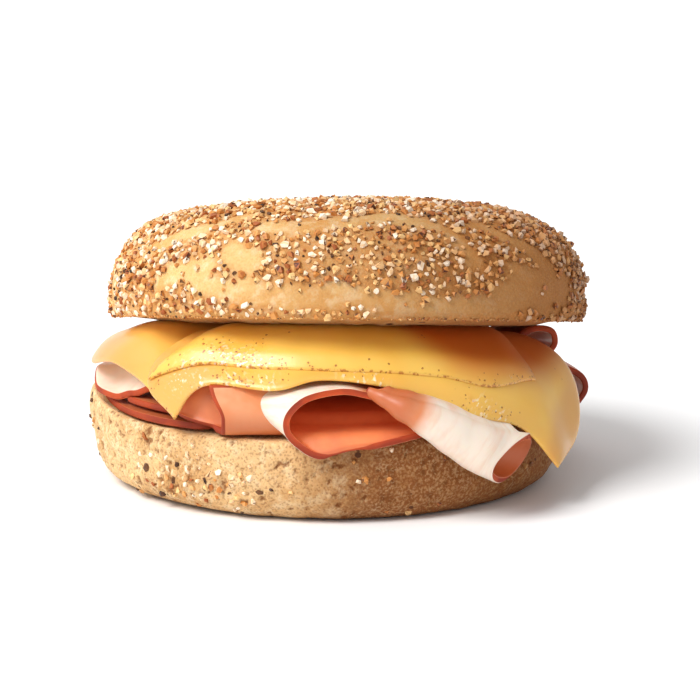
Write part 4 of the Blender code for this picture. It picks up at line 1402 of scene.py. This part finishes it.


# Browned spots, and bubbled spots that also carry painted highlights, on the cheese, in the flat slice's own
# millimetres: (x, y), radius, strength.
TOP_TOAST = (((-39, -39), 2.0, 0.5), ((-34, -40.5), 2.0, 0.5), ((-29.4, -42.8), 2.0, 0.55),
             ((-25, -43), 3.0, 0.8), ((-21, -45.5), 3.2, 0.9), ((-16.6, -48.5), 3.0, 0.9),
             ((-10, -51), 2.2, 0.6), ((-4, -52), 1.6, 0.5), ((1, -52.5), 1.6, 0.5),
             ((8, -52), 1.5, 0.45), ((15, -51.5), 1.5, 0.45), ((22.8, -49.5), 1.6, 0.5),
             ((28.4, -47), 1.6, 0.5), ((34.2, -44.5), 1.8, 0.5), ((39, -41), 1.8, 0.55),
             ((43.4, -35), 2, 0.5), ((47, -29), 2.2, 0.6), ((42, -18), 1.6, 0.4), ((-14, -44), 3, 0.35),
             ((20, -40), 2, 0.2))
MAIN_TOAST = (((-23.3, -49.4), 2.6, 0.8), ((-20.9, -51.6), 2.4, 0.8), ((-17, -53.5), 2.2, 0.8),
              ((-11.4, -53.3), 2.2, 0.7), ((-9, -54), 2.0, 0.5), ((4.1, -54.2), 1.4, 0.35),
              ((8.4, -53.9), 1.4, 0.35), ((31.1, -52.3), 2.2, 0.55), ((33.3, -50), 2.0, 0.5),
              ((36.6, -49.4), 2.2, 0.6), ((39.2, -48.4), 2.2, 0.6), ((42.3, -46.9), 2.0, 0.55),
              ((45.8, -44.8), 1.8, 0.45), ((-40, -38.1), 1.8, 0.6), ((-39.8, -42.5), 1.2, 0.5),
              ((-39.7, -46.4), 1.2, 0.5), ((-37.6, -51), 1.8, 0.7), ((-34, -51), 1.4, 0.5),
              ((-30, -49.7), 1.4, 0.5), ((-38.4, -40.6), 2.0, 0.5), ((52, -15), 2.0, 0.3))
TOP_BUBBLES_AND_HIGHLIGHTS = (((-24, -44), 3.0, 0.8), ((-19, -47), 3.0, 1.0), ((-14, -50), 2.6, 0.8),
               ((-31, -42.5), 2.0, 0.5), ((43, -36), 1.8, 0.4))
MAIN_BUBBLES_AND_HIGHLIGHTS = (((-21, -51), 2.4, 0.9), ((-14, -54), 2.4, 0.8), ((6, -54), 2.6, 0.8),
                ((11, -54.4), 2.0, 0.7), ((36, -50), 2.4, 0.8), ((41, -47.8), 2.2, 0.7),
                ((-33, -44), 2.4, 0.75), ((-28.5, -47.5), 1.8, 0.8))


def spotted(x, y, spots):
    """How strongly spots cover a place on the flat slice, in mm."""
    value = 0.0
    for (sx, sy), radius, strength in spots:
        value = max(value, strength * math.exp(-((x - sx) ** 2 + (y - sy) ** 2) / radius ** 2))
    return value


def slice_paint(outline, toast, bubbles, thin):
    """What the cheese's material reads at (u, v): where it is toasted, bubbled with painted highlights or
    thin, how much painted shade it takes under the lid and how dotted its cut edge is."""
    def paint(u, v):
        x, y = outline(u, v) / MM
        # Painted shade under the lid. It reaches furthest out at the right and a little further at the left.
        limit = 38 + 21 * ease((x - 2) / 32) + 4 * ease((-x - 26) / 12)
        under = 0.95 * ease((limit - math.hypot(x, y)) / 10)
        return {"toast": spotted(x, y, toast), "bubbles": spotted(x, y, bubbles), "thin": thin(x, y, u, v),
                "under": under, "dotted": 0.85 if outline is TOP_SLICE else 0.0}

    return paint


def left_thin(x, y, u, v):
    """The left slice is thinner all over, and most so along its outer edge."""
    return 0.35 + 0.5 * (1 - ease(u * 5.2)) * ease((v + 0.1) * 3)


def main_thin(x, y, u, v):
    """The main slice is thinner at its left flap, its right tip and its front edge."""
    flap = (1 - ease((x + 30) / 12)) * (1 - ease((y + 36) / 10)) * 0.75
    right = ease((x - 53) / 5) * 0.8
    front = 0.35 * (1 - ease(v * 12))
    return max(flap, right, front)


def top_thin(x, y, u, v):
    """The top slice is thick all over."""
    return 0.0


class TOASTIE_OT_cheese(bpy.types.Operator):
    """Lay the three melted slices over the pile"""
    bl_idname = "toastie.cheese"
    bl_label = "Melted cheese"

    def execute(self, context):
        material = cheese_material(context.scene.toastie_filling)
        slices = (
            ("cheese_left", LEFT_SLICE, left_lift, (46, 46), slice_paint(LEFT_SLICE, (), (), left_thin)),
            ("cheese_main", MAIN_SLICE, lambda x, y: SETTLE + crowding(x), (76, 52),
             slice_paint(MAIN_SLICE, MAIN_TOAST, MAIN_BUBBLES_AND_HIGHLIGHTS, main_thin)),
            ("cheese_top", TOP_SLICE, lambda x, y: 2 * (SETTLE + crowding(x)), (64, 46),
             slice_paint(TOP_SLICE, TOP_TOAST, TOP_BUBBLES_AND_HIGHLIGHTS, top_thin)),
        )
        for name, outline, lift, cells, paint in slices:
            sink = 1.3 * MM if name == "cheese_top" else 0

            def place(u, v, outline=outline, lift=lift, sink=sink):
                x, y = outline(u, v)
                inward = min(u, 1 - u, v) * 80 / 7
                return drape(x, y, lift(x, y) - sink * (1 - ease(inward)))

            obj = sheet("melted_" + name, *cells, place, CHEESE, square=0.2, soft=3.2 * MM, paint=paint)
            finished(obj, material, "melted_cheese", name)
        return {"FINISHED"}


def meat(blush, rim=0.2, deep=0.0, glow=0.0, lit=0.0, hollow=0.0):
    """What the turkey's material reads: how pink the pale face is, partly its own pink and partly painted
    shade, how wide the browned rim is in mm, how much painted shade takes the colour towards dark red, how
    much painted light glows from its inner and its pale face, and how much painted shade darkens the inner
    face as the inside of a tube."""
    return {"blush": blush, "rim": rim * MM, "deep": deep, "glow": glow, "lit": lit, "hollow": hollow}


# What the material reads at (u, v) of each turkey slice.

# The base slice lies under the others. It is salmon and darkened, as painted shade.
def paint_base(u, v):
    return meat(1.0, 0.3, 0.55)


# The left slice's upper layer glows with painted light near its outer rim. Its lower layer, under it, is
# salmon and darkened, as painted shade.
def paint_left(u, v):
    return meat(0.06, 0.25, lit=0.8 * (1 - ease(v * 4))) if v < UPPER_ENDS else meat(1.0, 0.4, 0.35)


# The curl's near wall turns salmon and darker towards its bend, as painted shade, and its inner face glows
# with painted light.
def paint_curl(u, v):
    near = 1 - ease((v - 0.34) / 0.06)
    blush = mix(0.52, 1.0, ease(v * 3.8))
    shaded = 0.4 * near * ease((v - 0.06) / 0.2)
    return meat(mix(1.0, blush, near), mix(0.3, 1.15, near * (1 - ease((u - 0.3) / 0.2))), shaded, 0.45)


# The loop's inner face glows with painted light near its mouth. Its pale face is pink towards both ends of
# the mouth, partly its own pink and partly painted shade. Painted shade darkens the mouth's edge from its
# left side round its bottom.
def paint_loop(u, v):
    blush = eased(u, (0.0, 0.9), (0.14, 0.7), (0.24, 0.02), (0.6, 0.02), (0.7, 0.5))
    return meat(blush, 0.22, eased(u, (0.4, 0.0), (0.56, 0.35)) * (v < 0.04), 1 - ease(v * 1.4))


# The roll is red at its start, partly its own pink and partly painted shade, with more painted shade
# darkening it there. Its inside darkens as a tube, as painted shade.
def paint_roll(u, v):
    red = 1 - ease((u - 0.20) / 0.2)
    return meat(max(red, 0.05), mix(0.7, 0.12, ease(u / 0.35)), 0.5 * red, hollow=0.85)


# The right slice hangs on the side away from the light. It is a little pink and darkened, as painted shade.
def paint_right(u, v):
    return meat(0.25, 0.3, 0.15)


TURKEY_SLICES = (
    ("turkey_base", (44, 44), place_base, paint_base, False),
    ("turkey_left", (46, 56), place_left, paint_left, True),
    ("turkey_curl", (26, 84), place_curl, paint_curl, True),
    ("turkey_loop", (92, 46), place_loop, paint_loop, True),
    ("turkey_roll", (56, 64), place_roll, paint_roll, False),
    ("turkey_right", (36, 76), place_right, paint_right, False),
)


class TOASTIE_OT_turkey(bpy.types.Operator):
    """Fold the six turkey slices into the roll"""
    bl_idname = "toastie.turkey"
    bl_label = "Turkey slices"

    def execute(self, context):
        material = turkey_material(context.scene.toastie_filling)
        for name, cells, place, paint, turned_over in TURKEY_SLICES:
            obj = sheet("sliced_" + name, *cells, place, 0.85 * TURKEY, square=0.6, soft=0.45 * MM,
                        paint=paint, turned_over=turned_over)
            finished(obj, material, "turkey", name)
        return {"FINISHED"}


PHOTO_TARGET = Vector((5.14, 0.0, 28.67)) * MM
PHOTO_LENS = 220.1
SUN_PLACE = Vector((-0.52, -0.44, 0.74))


def aimed(obj, place, target):
    """Sets an object at a place, looking at a target."""
    obj.location = place
    obj.rotation_euler = (target - place).to_track_quat("-Z", "Y").to_euler()


class TOASTIE_OT_stage(bpy.types.Operator):
    """Set up the pale floor, the lights and the camera at the photograph's angle"""
    bl_idname = "toastie.stage"
    bl_label = "Stage"

    def execute(self, context):
        looks = context.scene.toastie_stage
        scene = context.scene
        bm = bmesh.new()
        bmesh.ops.create_grid(bm, x_segments=4, y_segments=4, size=6.0)
        ground = placed("floor", bm)
        material, tree, shader = new_material("floor", 0.9, Specular_IOR_Level=0.1)
        cloudy = span(tree, object_noise(tree, 3, 2), 0.3, 0.7, 0, 0.04)
        tree.links.new(blended(tree, cloudy, looks.floor, (0.95, 0.95, 0.95)), shader.inputs["Base Color"])
        ground.data.materials.append(material)
        light = bpy.data.lights.new("key", "SUN")
        light.energy = looks.key
        light.angle = looks.key_softness
        aimed(linked("key", light), SUN_PLACE, Vector())
        world = bpy.data.worlds.new("surround")
        world.use_nodes = True
        tree = world.node_tree
        back = tree.nodes["Background"]
        back.inputs["Color"].default_value = (1, 1, 1, 1)
        seen = tree.nodes.new("ShaderNodeLightPath")
        way = tree.nodes.new("ShaderNodeSeparateXYZ")
        tree.links.new(tree.nodes.new("ShaderNodeTexCoord").outputs["Generated"], way.inputs["Vector"])
        side = span(tree, way.outputs["X"], -0.7, 0.7, 1.3 * looks.surround, 0.7 * looks.surround)
        strength = tree.nodes.new("ShaderNodeMapRange")
        strength.inputs["To Max"].default_value = 1.0
        tree.links.new(side, strength.inputs["To Min"])
        tree.links.new(seen.outputs["Is Camera Ray"], strength.inputs["Value"])
        tree.links.new(strength.outputs["Result"], back.inputs["Strength"])
        scene.world = world
        cam = bpy.data.cameras.new("photo_camera")
        cam.sensor_width = 36
        cam.lens = PHOTO_LENS
        cam.clip_start = 0.01
        cam.clip_end = 50
        eye = linked("photo_camera", cam)
        away = Vector((math.sin(looks.azimuth) * math.cos(looks.elevation),
                       -math.cos(looks.azimuth) * math.cos(looks.elevation), math.sin(looks.elevation)))
        aimed(eye, PHOTO_TARGET + away * looks.distance, PHOTO_TARGET)
        scene.camera = eye
        scene.view_settings.view_transform = "Standard"
        scene.view_settings.look = "None"
        return {"FINISHED"}


class TOASTIE_PT_panel(bpy.types.Panel):
    """The pieces of the toastie, in the order in which they are made"""
    bl_label = "Toastie"
    bl_idname = "TOASTIE_PT_panel"
    bl_space_type = "VIEW_3D"
    bl_region_type = "UI"
    bl_category = "Toastie"

    def draw(self, context):
        for operator in OPERATORS:
            self.layout.operator(operator.bl_idname)
        for key in SETTINGS:
            box = self.layout.box()
            group = getattr(context.scene, key)
            for prop in group.bl_rna.properties:
                if not prop.is_readonly and prop.identifier != "name":
                    box.prop(group, prop.identifier)


OPERATORS = (TOASTIE_OT_lid, TOASTIE_OT_lid_grain, TOASTIE_OT_heel, TOASTIE_OT_heel_grain,
             TOASTIE_OT_rim_crumbs, TOASTIE_OT_cheese, TOASTIE_OT_turkey, TOASTIE_OT_stage)
SETTINGS = {"toastie_bread": ToastieBread, "toastie_filling": ToastieFilling, "toastie_stage": ToastieStage}


def register():
    for cls in (*SETTINGS.values(), *OPERATORS, TOASTIE_PT_panel):
        bpy.utils.register_class(cls)
    for key, cls in SETTINGS.items():
        setattr(bpy.types.Scene, key, PointerProperty(type=cls))


def unregister():
    for key in SETTINGS:
        delattr(bpy.types.Scene, key)
    for cls in (TOASTIE_PT_panel, *OPERATORS, *SETTINGS.values()):
        bpy.utils.unregister_class(cls)


def main():
    register()
    bpy.ops.toastie.lid()
    bpy.ops.toastie.lid_grain()
    bpy.ops.toastie.heel()
    bpy.ops.toastie.heel_grain()
    bpy.ops.toastie.rim_crumbs()
    bpy.ops.toastie.cheese()
    bpy.ops.toastie.turkey()
    bpy.ops.toastie.stage()


if __name__ == "__main__":
    main()
